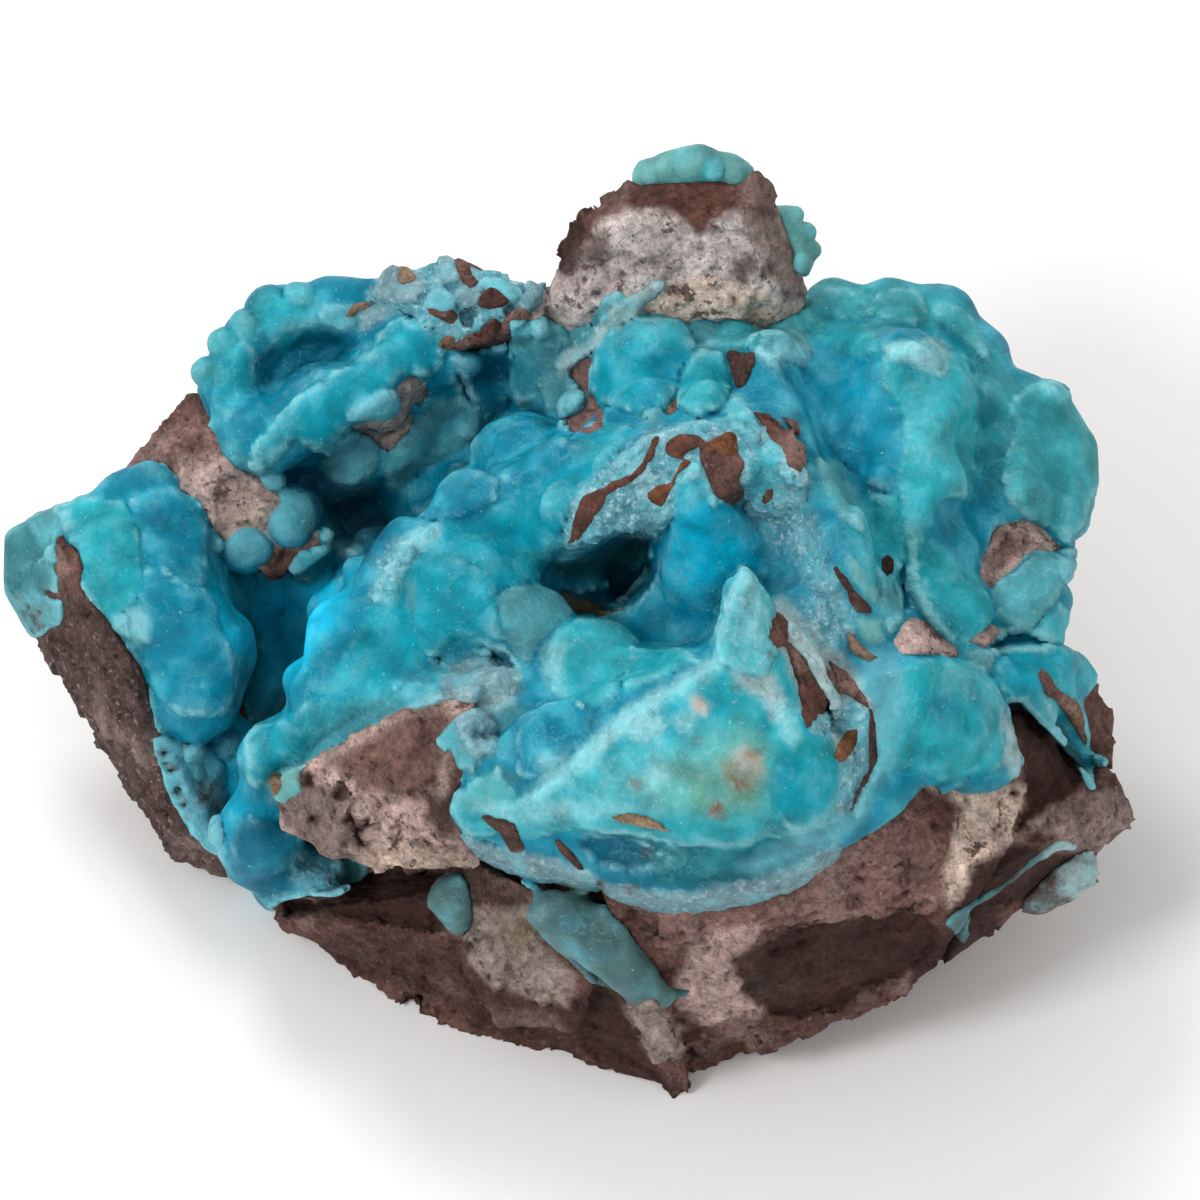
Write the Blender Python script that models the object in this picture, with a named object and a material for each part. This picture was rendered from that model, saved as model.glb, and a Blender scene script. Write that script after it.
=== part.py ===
"""A smithsonite specimen: a botryoidal crust on a broken, angular host rock.

The specimen is laid out on its display face, which is tilted back. On it u runs right, v runs up the face
and w stands out of it, all in millimetres. face() turns such a point into the world, where +Z is up.
"""

import math
import random

import bmesh
import bpy
import numpy as np
from mathutils import Vector

MM = 0.001
FACE_UP, FACE_OUT = 0.6, 0.8  # share of v, and of w, that is height: the face leans back 53 degrees
EYE = 900.0  # u and v are where a point shows from this far in front of the face
FLOOR = -34.0  # height of the resting face below the middle of the display face
ORIGIN = (-3.2, 0.8, FLOOR)  # what becomes the origin: the resting face, under the middle of the specimen

# The crust is a sheet on the relief, thin at its edge, with small lumps scattered over it.
CRUST = 3.6  # how far the rock lies under the relief
SHEET_U, SHEET_V, SHEET_STEP = (-62, 54), (-33, 36), 1.3
EDGE_DEPTH, DEPTH_GAIN, MOST_DEPTH = 4.5, 0.6, 9.0
LUMP_U, LUMP_V = (-60, 50), (-31, 34)
LUMP_TRIES, LUMP_RADIUS, LUMP_SUNK = 420, (1.3, 2.9), (0.2, 0.6)
MASS_DEPTH, MASS_NARROW = 12, 0.8  # how deep a broken mass of crust goes, and how it narrows
WIDE_GAP, LEAST_GAP = 0.9, 0.45  # clearance between crust and rock before the meshes are thinned, and after

# The body of the rock is rings under the relief, then walls down to the resting face.
RINGS, STATIONS, KNOT_EVERY = 14, 90, 6
WALLS = [(0.35, 3.0), (0.7, 2.5), (1.0, 0.0)]  # share of the way down, and how far the wall wavers there
LEDGE = 3.5  # the rock lies under the lowest relief this near
FOOT_DROP = 1.5  # how far the walls go on below the resting face, before it is cut
BELOW_FLOOR = 200.0  # side of the block that cuts it

# Sizes of the voxels that fuse each shape into one skin, and the triangles that it keeps.
BODY_VOXEL, CRUST_VOXEL, FINE_CRUST_VOXEL, PATCH_VOXEL = 1.3, 1.0, 0.9, 0.5
WIDE_VOXEL, LEAST_VOXEL = 0.8, 0.4
FUSED_BODY_TRIANGLES, BODY_TRIANGLES, CRUST_TRIANGLES, PATCH_TRIANGLES = 9000, 1200, 3800, 120
NO_LIMIT = 1e9

MERGE = 0.02  # vertices this near are one
SHARPEST = 2.5  # most that a sharp corner is moved out, as a multiple of the clearance
SOFTEN = 0.6  # rounds the crests and valleys of the relief
TINY = 1e-9
SEED = 7

# Crest and valley lines of the crust, each a list of (u, v, w).
RELIEF = {
    "bowl_rim": [(-39, 19, -13), (-37, 25, -13), (-33, 29, -13), (-26, 30.5, -12), (-17, 29, -10)],
    "shelf": [(-36, 15, -9), (-30, 17, -7), (-24, 21, -6), (-17, 26, -7)],
    "bowl_floor": [(-34, 21.5, -14), (-29, 23.5, -14.5), (-22, 26.5, -14), (-18, 24, -14.5)],
    "under_shelf": [(-31, 11, -19), (-25, 13.5, -19), (-19, 17.5, -15)],
    "deep_hollow": [(-27, 7, -25), (-21, 7.5, -27), (-17, 11, -24)],
    "centre_bowl": [(-14, 15, -18), (-9, 17, -19), (-3, 19, -17)],
    "dark_pocket": [(-11, 22, -18)],
    "wing_crest": [(-57, 6, -16), (-50, 9, -11), (-43, 9.5, -9)],
    "wing_face": [(-50, 2, -8), (-43, -2, -6), (-39.5, -9, -6)],
    "wing_foot": [(-38, -14, -13), (-38, -20, -16)],
    "left_basin": [(-31, 4, -22), (-30, -2, -26), (-33, -10, -25), (-36, -16, -22), (-37, -22, -18)],
    "white_ridge": [(3, 14, 11), (-5, 12, 9), (-12, 9.5, 8), (-19, 5, 8), (-23, -2, 9), (-29, -11.5, 8)],
    "ridge_end": [(-34, -14.5, 6), (-35, -20, 3), (-35.5, -26, -3)],
    "hummocks": [(-15, 0, 9), (-10, -1, 11), (-5, -4, 11)],
    "hummock_gap": [(-18, -6, 8), (-13, -6.5, 6), (-9, -5.5, 7)],
    "grey_hummock": [(-17, -9, 12), (-11, -10, 13), (-6, -9, 12)],
    "cave": [(-3, 1.5, -2), (1, 1.5, -8), (5, 3.5, -8)],
    "dome_slope": [(9, 9, 13), (12, 5, 11), (10, -2, 8), (5, -3, 8)],
    "arch": [(-3, 7.5, 13), (0, 12, 16), (5, 15.5, 17), (10, 16, 18), (17, 15, 18)],
    "arch_back": [(8, 19.5, 8), (-1, 17, 5)],
    "ridge_b": [(16, 25, 6), (19, 18, 15), (22, 11, 18), (26, 3, 21), (29, -4, 21)],
    "right_valley": [(21, 24, -4), (22, 19, 0), (25, 10, 5), (28, 4, 8), (30, -1, 10)],
    "rib": [(29, 25, 3), (30, 18, 6), (31.5, 10, 9), (32, 2, 11), (36, -4, 11)],
    "right_hollow": [(37, 22, -4), (39, 14, -1), (40, 7, 1)],
    "right_rim": [
        (21, 30, -10), (29, 30.5, -9), (36, 28, -8), (41, 22, -6), (46, 19, -6), (48, 12, -6),
        (47, 5, -3),
    ],
    "right_foot": [(41, 0, 3), (43, -4, 5), (47, -8, 3), (50, -16, 1)],
    "upper_domes": [(-3, 21, -8), (4, 23, -3), (10, 22, 0), (14, 25, 2)],
    "crown_foot": [(-13, 27, -8), (-4, 29, -8), (6, 28, -6), (18, 28, -8)],
    "front_top": [(0, -7, 12), (6, -9, 19), (12, -7, 24), (18, -6, 25)],
    "front_middle": [(-13, -20, 14), (-6, -16, 18), (4, -17, 23), (14, -16, 26), (22, -18, 25)],
    "front_low": [(-10, -26, 10), (0, -29, 13), (9, -31, 14), (20, -30, 15)],
    "right_middle": [(27, -9, 21), (33, -11, 19), (40, -13, 13)],
    "front_foot": [(-32, -30, -8), (-15, -36, -4), (8, -44, 0), (28, -38, 3), (44, -26, 2)],
}

# Where the crust lies, as (u, v).
CRUST_OUTLINE = [
    (-59.5, 7), (-54, 8.5), (-49, 11.5), (-45, 14.5), (-42.5, 11), (-39, 7), (-33, 3.5), (-29, 5.5),
    (-33, 9.5), (-37.5, 14), (-39.5, 20), (-35, 28), (-27, 30.8), (-20, 32), (-14.5, 33), (-7, 31),
    (-4, 28), (4, 25.5), (20, 27.5), (21, 30), (30, 30.2), (37.8, 25.6), (44, 20.8), (47.8, 12),
    (44.6, 3), (45, -4), (48.5, -7), (49.5, -14), (49, -19), (42, -11), (42.5, -18.5), (31, -19),
    (26, -24), (22, -29), (10, -31.5), (0, -29), (-8, -27), (-14.5, -22), (-15, -19), (-14, -14),
    (-12.5, -10), (-25.5, -14), (-32.5, -19), (-32, -23), (-27, -26), (-30, -30), (-36, -28),
    (-38.5, -25), (-45, -10), (-47.5, -5.5), (-52, 1), (-55, 0), (-58, 0),
]

# The rim of the host rock's body round the display face, as (u, v), clockwise from the left tip.
BODY_RIM = [
    (-56, 4), (-48, 10), (-41, 17), (-38, 24), (-31, 29.5), (-22, 31), (-12, 31.5), (-2, 33), (8, 36),
    (17, 33), (22, 28), (31, 29), (38, 25), (45, 18), (47, 10), (44, 1), (46, -8), (49, -16), (46, -24),
    (36, -31), (26, -38), (12, -43), (-4, -41), (-16, -36), (-28, -30), (-36, -25), (-42, -18), (-49, -7),
]
# The face that the specimen rests on, as world (x, y) from the middle of the display face.
FOOTPRINT = [
    (-35, -6), (-31, -18), (-21, -26), (-8, -31), (8, -36.5), (21, -31), (33, -22), (38, -8), (37, 10),
    (29, 23), (15, 31), (-2, 31), (-18, 26), (-31, 16), (-37, 4),
]


def into_rock(run):
    """The way straight into the display face, as far as this, in the world."""
    return (0, FACE_UP * run, -FACE_OUT * run)


# Angular blocks of host rock: corners as (u, v, w), the way from those to their far ends in the world, and
# the share of the block's width that is left there.
BLOCKS = {
    "crown": dict(
        corners=[
            (-5, 28.5, -7), (-3.8, 33.5, -5), (-3.2, 38.2, -3), (0.5, 39.8, -1), (4.5, 41.3, 0),
            (9, 41.9, 0.5), (14.5, 42, 0.5), (17, 41, -0.5), (18.2, 36.5, -2), (20, 33.5, -4),
            (20.8, 31, -6), (19.5, 27, -8), (12, 25, -6), (3, 25.5, -7), (0.5, 37.5, 2.2),
            (14.5, 38.5, 3), (16.5, 30.5, 0), (1.5, 30, 0),
        ],
        back=(0, 7, -27), narrow=0.95,
    ),
    "wing": dict(
        corners=[
            (-59.2, 1, -19), (-57, -3, -19.5), (-49, -15, -18), (-45, -22, -18), (-42.5, -26, -18.5),
            (-36, -28, -17), (-38, -25.5, -13), (-43.5, -23, -11.5), (-44.3, -13, -7), (-47.5, -6, -4.5),
            (-51.5, 0, -5), (-54, 5.5, -8), (-49.5, 5, -12), (-42, -8, -13), (-39, -20, -17),
        ],
        back=(7, 4, -8), narrow=0.8,
    ),
    "front_left": dict(
        corners=[
            (-32.5, -19, 8), (-31, -17, 9.5), (-29, -16.5, 11), (-25, -13.8, 12.5), (-20, -11.5, 14.5),
            (-12.5, -9.3, 16), (-13.5, -15, 17), (-13.5, -24, 14.5), (-12, -26.5, 12), (-23, -26.8, 9.5),
            (-27, -25, 9), (-32, -23, 7.5), (-20, -17.5, 16),
        ],
        back=into_rock(15), narrow=0.8,
    ),
    "lower": dict(
        corners=[
            (-32.2, -30, -8), (-27, -29.5, -3), (-17, -27.5, 0), (-12, -31, 3), (0, -30, 6), (8, -40, 3),
            (9, -49.5, -4.5), (0, -46, -7), (-10, -42.5, -9), (-17, -40, -10.5), (-27, -35, -13),
            (-32, -32.5, -13), (-2, -41, 0.5), (-17, -34.5, -3),
        ],
        back=into_rock(20), narrow=0.85,
    ),
    "column": dict(
        corners=[
            (-13.5, -26, 6), (-6.5, -29, 8.5), (-4, -36, 7), (-0.5, -38.5, 5), (-2, -43, 0.5),
            (-10, -42.5, -2.5), (-13.8, -37, 0), (-7.5, -34, 7.5),
        ],
        back=into_rock(9), narrow=0.9,
    ),
    "splinter": dict(
        corners=[(3.2, -38.5, 7.5), (6.5, -38.8, 8.5), (8.3, -45.2, 4), (5.5, -46, 2.5), (4, -42, 5.5)],
        back=into_rock(6), narrow=0.9,
    ),
    "front_right": dict(
        corners=[
            (-0.5, -28, 14), (9, -31, 15.5), (19, -29, 18), (27, -22, 20.5), (31, -18, 20),
            (36, -17.3, 18.5), (41.5, -17.8, 16), (42, -20.5, 15), (40, -26, 13), (36, -32, 9),
            (34, -36, 5), (28, -41, 0), (18, -44, -2), (10, -45.3, -2), (6, -41, 4), (3, -35, 10),
            (20, -33, 16), (33, -25.5, 17), (14, -38.5, 9),
        ],
        back=into_rock(22), narrow=0.8,
    ),
    "dark_right": dict(
        corners=[
            (40, -10.5, 11), (42.5, -10.3, 10), (45.2, -13, 9), (49.2, -19, 5), (46, -23.8, 6),
            (40, -27, 9), (41.5, -18, 12),
        ],
        back=into_rock(12), narrow=0.8,
    ),
    "tail": dict(
        corners=[
            (39.5, -27, 9.5), (46, -23.3, 8.5), (50, -20, 5), (50.8, -16.5, 1), (53.9, -22, -5),
            (50, -25, -4), (46.5, -24.8, -1), (45, -29, -4), (40, -30.3, -1), (36, -34, -1),
            (34.5, -36.5, 1),
        ],
        back=(-6, 5, -7), narrow=0.8,
    ),
    "right_slab": dict(
        corners=[
            (47.5, -6, 0), (49.5, -8, -1), (51, -11, -2), (51.2, -17, -2), (49.3, -14, 2.5), (46.5, -10, 5),
            (46.3, -7, 4),
        ],
        back=(-7, 1, -12), narrow=0.85,
    ),
    "left_window": dict(
        corners=[
            (-44, 14.5, -12), (-41.5, 17, -12), (-38.5, 17.3, -11), (-37, 14, -10), (-33, 10, -11),
            (-27, 6, -13), (-32.5, 2, -14), (-34.5, 4, -13), (-39, 7, -11.5), (-42.5, 11, -11.5),
        ],
        back=into_rock(20), narrow=0.9,
    ),
    "rear_left": dict(
        corners=[
            (-49.3, 11.5, -16), (-46.3, 14.8, -16), (-42.8, 19, -15.5), (-39.8, 21, -15), (-38, 17, -13),
            (-45, 12, -13),
        ],
        back=(4, 4, -12), narrow=0.9,
    ),
    "rear_middle": dict(
        corners=[
            (-20, 32, -11), (-15, 33.3, -9), (-13.3, 33.9, -8), (-8, 31.2, -7), (-5.5, 30, -6),
            (-6.5, 27.3, -5), (-14.5, 25.8, -6), (-17, 28, -7), (-9.5, 29.5, -4.5),
        ],
        back=(0, 6, -15), narrow=0.9,
    ),
    "arch_shards": dict(
        corners=[
            (-3.6, 5.6, 13.5), (-2, 10.3, 15.5), (5, 16.3, 17.5), (12, 17.8, 18), (14.6, 15, 19),
            (12, 11, 18.5), (8, 10.5, 18), (3, 9, 16.5),
        ],
        back=into_rock(12), narrow=0.6,
    ),
    "ridge_shard": dict(
        corners=[
            (15.5, 18.9, 16.5), (17.6, 18.2, 17), (20.6, 14, 19), (20.4, 12, 20), (19.2, 12.4, 20),
            (16.8, 16, 18),
        ],
        back=into_rock(12), narrow=0.7,
    ),
    "front_shard": dict(
        corners=[
            (16.6, -1.6, 26), (18.6, -2, 26), (23.6, -7.6, 25.5), (23, -9.4, 26), (22, -12.8, 26),
            (20, -12.2, 26), (19.2, -6.5, 27),
        ],
        back=into_rock(14), narrow=0.7,
    ),
    "right_window": dict(
        corners=[
            (38.5, 5, 3), (39.5, 7.5, 1.5), (43, 8, -1), (45.5, 5, -2), (44.8, 2.5, 1), (41, 0.5, 4.5),
            (38.5, 2, 5),
        ],
        back=into_rock(12), narrow=0.8,
    ),
}
# Flat breaks across the back, sides and underside, in the world: a point on each and the way it faces.
FRACTURES = [
    ((36, 26, -5), (0.62, 0.75, -0.2)), ((-36, 24, -12), (-0.6, 0.75, -0.25)),
    ((0, 33, -10), (0.05, 1, -0.1)), ((44, 2, -20), (0.9, 0.1, -0.5)), ((-42, 2, -24), (-0.8, 0.1, -0.6)),
    ((30, -28, -26), (0.5, -0.7, -0.5)), ((-30, -24, -26), (-0.5, -0.7, -0.5)),
    ((16, 30, 2), (0.3, 0.9, 0.25)), ((-22, 30, -18), (-0.25, 0.9, -0.3)),
]
# Shell-like fractures in the front rock: centre (u, v, w), radius and how far each is squashed.
SCOOPS = [((27, -42, 18), 16, 0.75), ((46, -18, 22), 13, 0.9)]

# Large domes of the crust: (u, v), radius and how far the dome stands above the relief.
DOMES = [
    (4, 23.8, 5.4, 5.0), (10.3, 22, 3.6, 3.2), (-2.2, 20.2, 3.4, 2.6), (-24.5, 14, 3.6, 1.6),
    (-35.3, 5.8, 2.7, 2.2), (-31, 8, 2.9, 2.2), (-21.5, 19.5, 3.0, 1.4), (-13, 17.5, 2.2, 2.0),
    (-36.8, 22.5, 3.4, 1.6), (-35, 26, 3.2, 1.6), (-31, 28.3, 3.4, 1.6), (-26.5, 29.3, 3.6, 1.6),
    (-51, 6.5, 3.4, 1.6), (-47.5, 3, 5.6, 2.0), (-43.5, 5.5, 5.2, 1.6), (-43, 0, 5.2, 1.8),
    (-39.5, -5, 5.6, 2.4), (-40.5, -10, 4.8, 2.2), (-39.7, -17, 2.8, 1.8), (-38.5, -20, 2.6, 1.6),
    (-38.3, -23, 2.8, 1.6), (23.5, 28.8, 3.6, 1.8), (29, 29.3, 3.4, 1.5), (34, 28, 3.8, 1.6),
    (38, 24.5, 3.2, 1.4), (42.5, 18.5, 4.4, 1.8), (44.8, 14.5, 4.2, 1.8), (45.6, 9.5, 4.2, 1.6),
    (44.3, 6, 3.4, 1.4), (43.3, 0, 4.0, 2.2), (-10, -2, 3.8, 1.6), (-6, -4, 4.6, 1.8), (-15, 1, 4.8, 1.6),
    (-1.5, -0.5, 3.4, 3.5), (-12, -7.5, 3.4, 1.8), (-9.5, -10.5, 3.8, 1.8), (0, -7, 5.4, 2.4),
    (-4.5, -12, 5.0, 2.4), (12, 4, 7.4, 2.6), (7, -2, 5.0, 1.5), (43, -9, 4.0, 1.8),
    (37.5, -5.8, 2.4, 1.4), (-32, -16, 4.4, 1.6), (-34, -23, 4.4, 1.8), (-31, -27, 3.4, 1.6),
    (33, 20, 3.8, 1.2), (32.8, 11, 3.6, 1.2), (24, 14, 5.0, 1.2), (-18, 12, 4.6, 2.0), (-8, 14, 5.2, 2.0),
    (-14, 21, 3.6, 1.6), (-28, 20, 3.8, 1.0), (-21, 24.5, 4.2, 1.0), (-33, 16.5, 4.0, 1.0),
    (-25, -4, 5.0, 1.6), (-20, 2, 4.6, 1.4), (-21.5, -7.5, 4.4, 1.2), (-27, -10, 4.2, 1.2),
    (30.5, -9, 4.6, 1.2), (36, -12, 4.4, 1.2), (26.5, -13, 4.4, 1.2), (48, -12.5, 2.6, 1.2),
    (-12, -20, 4.5, 3), (-6, -19, 5, 3), (0, -15, 5, 3), (6, -12, 5, 3), (10, -19, 5.5, 3.5),
    (17, -14, 5, 3.5), (20, -20, 5, 3), (24, -12, 4, 2), (2, -24, 5, 4), (12, -26, 4.5, 4),
    (-6, -24, 4, 3.5), (18, -25, 4.5, 4), (35, -12, 4, 3.5), (30, -15, 4, 3.5), (38, -16, 3.5, 3),
    (-56.5, 5, 3.2, 1.4), (-57.5, 2.5, 2.6, 1.2), (-55, 1.5, 2.8, 1.2),
]
# Pointed and broken masses of crust, as corners (u, v, w).
CRUST_BLOCKS = {
    "spike_left": [
        (9, 14.2, 21), (7, 9, 17.5), (6.5, 4, 12), (12, 9, 19), (16, 5, 15), (12, 3, 12), (9.5, 10, 20),
    ],
    "spike_right": [
        (13.9, 3, 28), (12.3, -3, 27), (11.5, -8, 25), (15, -4, 29), (19.5, -3, 26), (20, -8, 26),
        (16, -9, 24),
    ],
    "front_mass": [
        (-15, -19.5, 16), (-13, -16, 18), (-8, -12, 19), (0, -9.5, 22), (7, -7.3, 25), (12, -5.5, 27),
        (18, -6, 28), (22.5, -12, 28), (24.5, -20, 26), (24, -25, 23), (18, -29, 20), (10, -30.8, 18),
        (0, -28.8, 16), (-6, -26, 15), (-12, -23, 15), (8, -15, 28.5), (17, -17, 29.5), (0, -20, 24),
    ],
    "right_mass": [
        (25, -8, 24), (33, -5.5, 22), (40, -9.5, 16), (42.2, -14, 14), (42, -18, 14), (31, -19.2, 20.5),
        (26.5, -21, 22), (32, -12, 24),
    ],
}
# Patches of crust that don't reach the main crust: name, then balls as (u, v, w, radius).
PATCHES = {
    "smithsonite_crown_cap": [
        (5, 42.3, -0.5, 2.0), (7.5, 43, -1, 2.2), (10, 43.4, -1, 2.4), (12.5, 42.8, -1, 2.2),
        (14.5, 42.3, -1, 1.6),
    ],
    "smithsonite_crown_side": [
        (18.2, 38, -4, 2.0), (19, 36.3, -4.5, 2.2), (19.8, 34.3, -5.5, 2.0), (18.2, 35.3, -5, 2.4),
    ],
    "smithsonite_front_tongue": [
        (-4.5, -31, 9.5, 2.2), (-2, -33, 9.5, 2.6), (0.5, -34.5, 9.5, 2.8), (2.5, -36.3, 9.0, 2.6),
        (4.6, -38.6, 8.5, 2.0), (6.6, -39.8, 8.2, 1.3),
    ],
    "smithsonite_front_bead": [(-15.2, -30, 3.5, 2.2), (-15, -31.6, 2.8, 1.8)],
    "smithsonite_tail_foot": [(45.8, -28, -1, 2.6), (47.8, -27, -2, 2.4), (43.6, -29.4, -1, 2.4)],
}

MATERIALS = {
    "host_rock": ((0.20, 0.12, 0.11), 0.8),
    "smithsonite": ((0.02, 0.38, 0.46), 0.4),
}


def face(u, v, w):
    """The world position of a point that shows at (u, v) and stands w out of the display face."""
    nearer = 1 - w / EYE
    u, v = u * nearer, v * nearer
    return Vector((u, FACE_OUT * v - FACE_UP * w, FACE_UP * v + FACE_OUT * w))


def foot_on(start, end, u, v):
    """How far along a segment the nearest point to (u, v) is, from 0 to 1, and its distance."""
    du, dv = end[0] - start[0], end[1] - start[1]
    along = ((u - start[0]) * du + (v - start[1]) * dv) / max(du * du + dv * dv, TINY)
    along = min(1.0, max(0.0, along))
    return along, math.hypot(u - start[0] - along * du, v - start[1] - along * dv)


def nearest(outline, u, v):
    """The distance from (u, v) to a closed outline."""
    return min(foot_on(start, end, u, v)[1] for start, end in zip(outline, outline[1:] + outline[:1]))


def relief(u, v):
    """How far the crust stands out at (u, v): the crest and valley lines, each weighted by its nearness."""
    total = weights = 0.0
    for line in RELIEF.values():
        best, height = math.inf, 0.0
        for start, end in zip(line, line[1:] + line[-1:]):
            along, far = foot_on(start, end, u, v)
            if far < best:
                best, height = far, start[2] + along * (end[2] - start[2])
        weight = 1 / (best * best + SOFTEN) ** 2
        total += weight * height
        weights += weight
    return total / weights


def inside(outline, u, v):
    """Whether (u, v) is inside a closed outline."""
    odd = False
    for (u0, v0), (u1, v1) in zip(outline, outline[1:] + outline[:1]):
        if (v0 > v) != (v1 > v) and u < u0 + (v - v0) * (u1 - u0) / (v1 - v0):
            odd = not odd
    return odd


def clear_scene():
    for obj in list(bpy.data.objects):
        bpy.data.objects.remove(obj)


def add_object(name, bm):
    """A new object from a bmesh in millimetres, at real size."""
    bmesh.ops.recalc_face_normals(bm, faces=bm.faces)
    mesh = bpy.data.meshes.new(name)
    bm.to_mesh(mesh)
    bm.free()
    obj = bpy.data.objects.new(name, mesh)
    bpy.context.scene.collection.objects.link(obj)
    return obj


def helper(obj):
    """Marks an object as a cutter or a source of other shapes."""
    obj.hide_render = True
    obj.display_type = "WIRE"
    return obj


def add_hull(bm, points):
    """Adds the convex hull of some points."""
    verts = [bm.verts.new(p) for p in points]
    made = bmesh.ops.convex_hull(bm, input=verts)
    spare = {v for v in made["geom_interior"] + made["geom_unused"] if isinstance(v, bmesh.types.BMVert)}
    bmesh.ops.delete(bm, geom=list(spare), context="VERTS")


def block_points(corners, back, narrow):
    """A block's corners on the display face, and the same corners narrowed and moved to its far end."""
    front = [face(*c) for c in corners]
    middle = sum(front, Vector()) / len(front)
    return front + [middle + (p - middle) * narrow + Vector(back) for p in front]


def underlay(u, v):
    """How far the host rock stands out under the crust at (u, v), clear of the crust's own hollows."""
    ways = [k * math.pi / 4 for k in range(8)]
    near = [(0, 0)] + [(LEDGE * math.cos(way), LEDGE * math.sin(way)) for way in ways]
    return min(relief(u + du, v + dv) for du, dv in near) - CRUST


def top_rings(bm, rim):
    """Rings of vertices from the middle of the body's top out to its rim."""
    rings = []
    for k in range(1, RINGS + 1):
        share = k / RINGS
        inner = [(u * share, v * share) for u, v in rim]
        rings.append([bm.verts.new(face(u, v, underlay(u, v))) for u, v in inner])
    return rings


def wall_rings(bm, top, foot, rng):
    """Rings of vertices from the rim of the body's top down to its foot."""
    rings = []
    for share, waver in WALLS:
        knots = [waver * rng.uniform(-1, 1) for _ in range(STATIONS // KNOT_EVERY)]
        ring = []
        for k, (start, (x, y)) in enumerate(zip(top, foot)):
            p = start.co.lerp(Vector((x, y, FLOOR - FOOT_DROP)), share)
            out = Vector((p.x, p.y, 0)).normalized()
            ring.append(bm.verts.new(p + out * np.interp(k / KNOT_EVERY, range(len(knots)), knots)))
        rings.append(ring)
    return rings


def build_body():
    """The host rock under the crust: its top inside the rim, and walls down to the footprint."""
    bm = bmesh.new()
    rim = resample(BODY_RIM, STATIONS)
    foot = resample_angles(FOOTPRINT, rim)
    centre = bm.verts.new(face(0, 0, underlay(0, 0)))
    rings = top_rings(bm, rim)
    rings += wall_rings(bm, rings[-1], foot, random.Random(SEED))
    for j in range(STATIONS):
        after = (j + 1) % STATIONS
        bm.faces.new((centre, rings[0][j], rings[0][after]))
        for inner, outer in zip(rings, rings[1:]):
            bm.faces.new((inner[j], outer[j], outer[after], inner[after]))
    bm.faces.new(rings[-1])
    body = add_object("host_rock", bm)
    remesh(body, BODY_VOXEL, FUSED_BODY_TRIANGLES)
    for point, normal in FRACTURES:
        fracture(body, point, normal)
    thin(body, BODY_TRIANGLES)
    return body


def fracture(obj, point, normal):
    """Breaks a convex corner off an object along a plane, and closes the break."""
    bm = bmesh.new()
    bm.from_mesh(obj.data)
    everything = bm.verts[:] + bm.edges[:] + bm.faces[:]
    made = bmesh.ops.bisect_plane(bm, geom=everything, plane_co=point, plane_no=normal, clear_outer=True)
    edges = [e for e in made["geom_cut"] if isinstance(e, bmesh.types.BMEdge)]
    bmesh.ops.holes_fill(bm, edges=edges, sides=0)
    bmesh.ops.triangulate(bm, faces=bm.faces)
    bm.to_mesh(obj.data)
    bm.free()


def resample(outline, count):
    """Points of a closed outline at even steps along it."""
    closed = outline + outline[:1]
    steps = np.hypot(*np.diff(np.array(closed, float), axis=0).T)
    at = np.concatenate([[0], np.cumsum(steps)])
    wanted = np.linspace(0, at[-1], count, endpoint=False)
    u = np.interp(wanted, at, [p[0] for p in closed])
    v = np.interp(wanted, at, [p[1] for p in closed])
    return list(zip(u.tolist(), v.tolist()))


def resample_angles(outline, directions):
    """For each direction from the middle, the point where it leaves a closed outline."""
    found = []
    for du, dv in directions:
        reach = math.inf
        for (x0, y0), (x1, y1) in zip(outline, outline[1:] + outline[:1]):
            ex, ey = x1 - x0, y1 - y0
            cross = du * ey - dv * ex
            if abs(cross) < TINY:
                continue
            t = (x0 * ey - y0 * ex) / cross
            s = (x0 * dv - y0 * du) / cross
            if t > 0 and -TINY <= s <= 1 + TINY:
                reach = min(reach, t)
        found.append((du * reach, dv * reach))
    return found


def combine(obj, tool, operation):
    """Applies a Boolean of one object with another to the first one's mesh."""
    cut = obj.modifiers.new(operation.title(), "BOOLEAN")
    cut.operation = operation
    cut.solver = "MANIFOLD"  # EXACT loses the whole rock where the wing joins it
    cut.object = tool
    apply_modifiers(obj)


def apply_modifiers(obj):
    """Makes an object's evaluated mesh its own."""
    shown = obj.evaluated_get(bpy.context.evaluated_depsgraph_get())
    mesh = bpy.data.meshes.new_from_object(shown)
    obj.modifiers.clear()
    obj.data = mesh


def remesh(obj, voxel, triangles):
    """Fuses an object's shells into one skin, then brings it down to about this many triangles."""
    fuse = obj.modifiers.new("Fuse", "REMESH")
    fuse.mode = "VOXEL"
    fuse.voxel_size = voxel
    fuse.adaptivity = 0
    apply_modifiers(obj)
    thin(obj, triangles)


def thin(obj, triangles):
    """Brings a mesh down to about this many triangles, where its shape needs them least."""
    held = sum(len(p.vertices) - 2 for p in obj.data.polygons)
    fewer = obj.modifiers.new("Thin", "DECIMATE")
    fewer.ratio = min(1.0, triangles / held)
    fewer.use_collapse_triangulate = True
    apply_modifiers(obj)


def shells(bm):
    """The faces of a bmesh, as one set for each part that is joined up."""
    left = set(bm.faces)
    found = []
    while left:
        shell, fresh = set(), {left.pop()}
        while fresh:
            shell |= fresh
            fresh = {near for known in fresh for e in known.edges for near in e.link_faces} - shell
        left -= shell
        found.append(shell)
    return found


def keep_largest(obj):
    """Drops every part of a mesh but the one with the most volume."""
    bm = bmesh.new()
    bm.from_mesh(obj.data)
    parts = sorted(shells(bm), key=lambda faces: -abs(shell_volume(faces)))
    loose = [f for part in parts[1:] for f in part]
    bmesh.ops.delete(bm, geom=loose, context="FACES")
    bmesh.ops.triangulate(bm, faces=bm.faces)
    bm.to_mesh(obj.data)
    bm.free()


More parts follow.
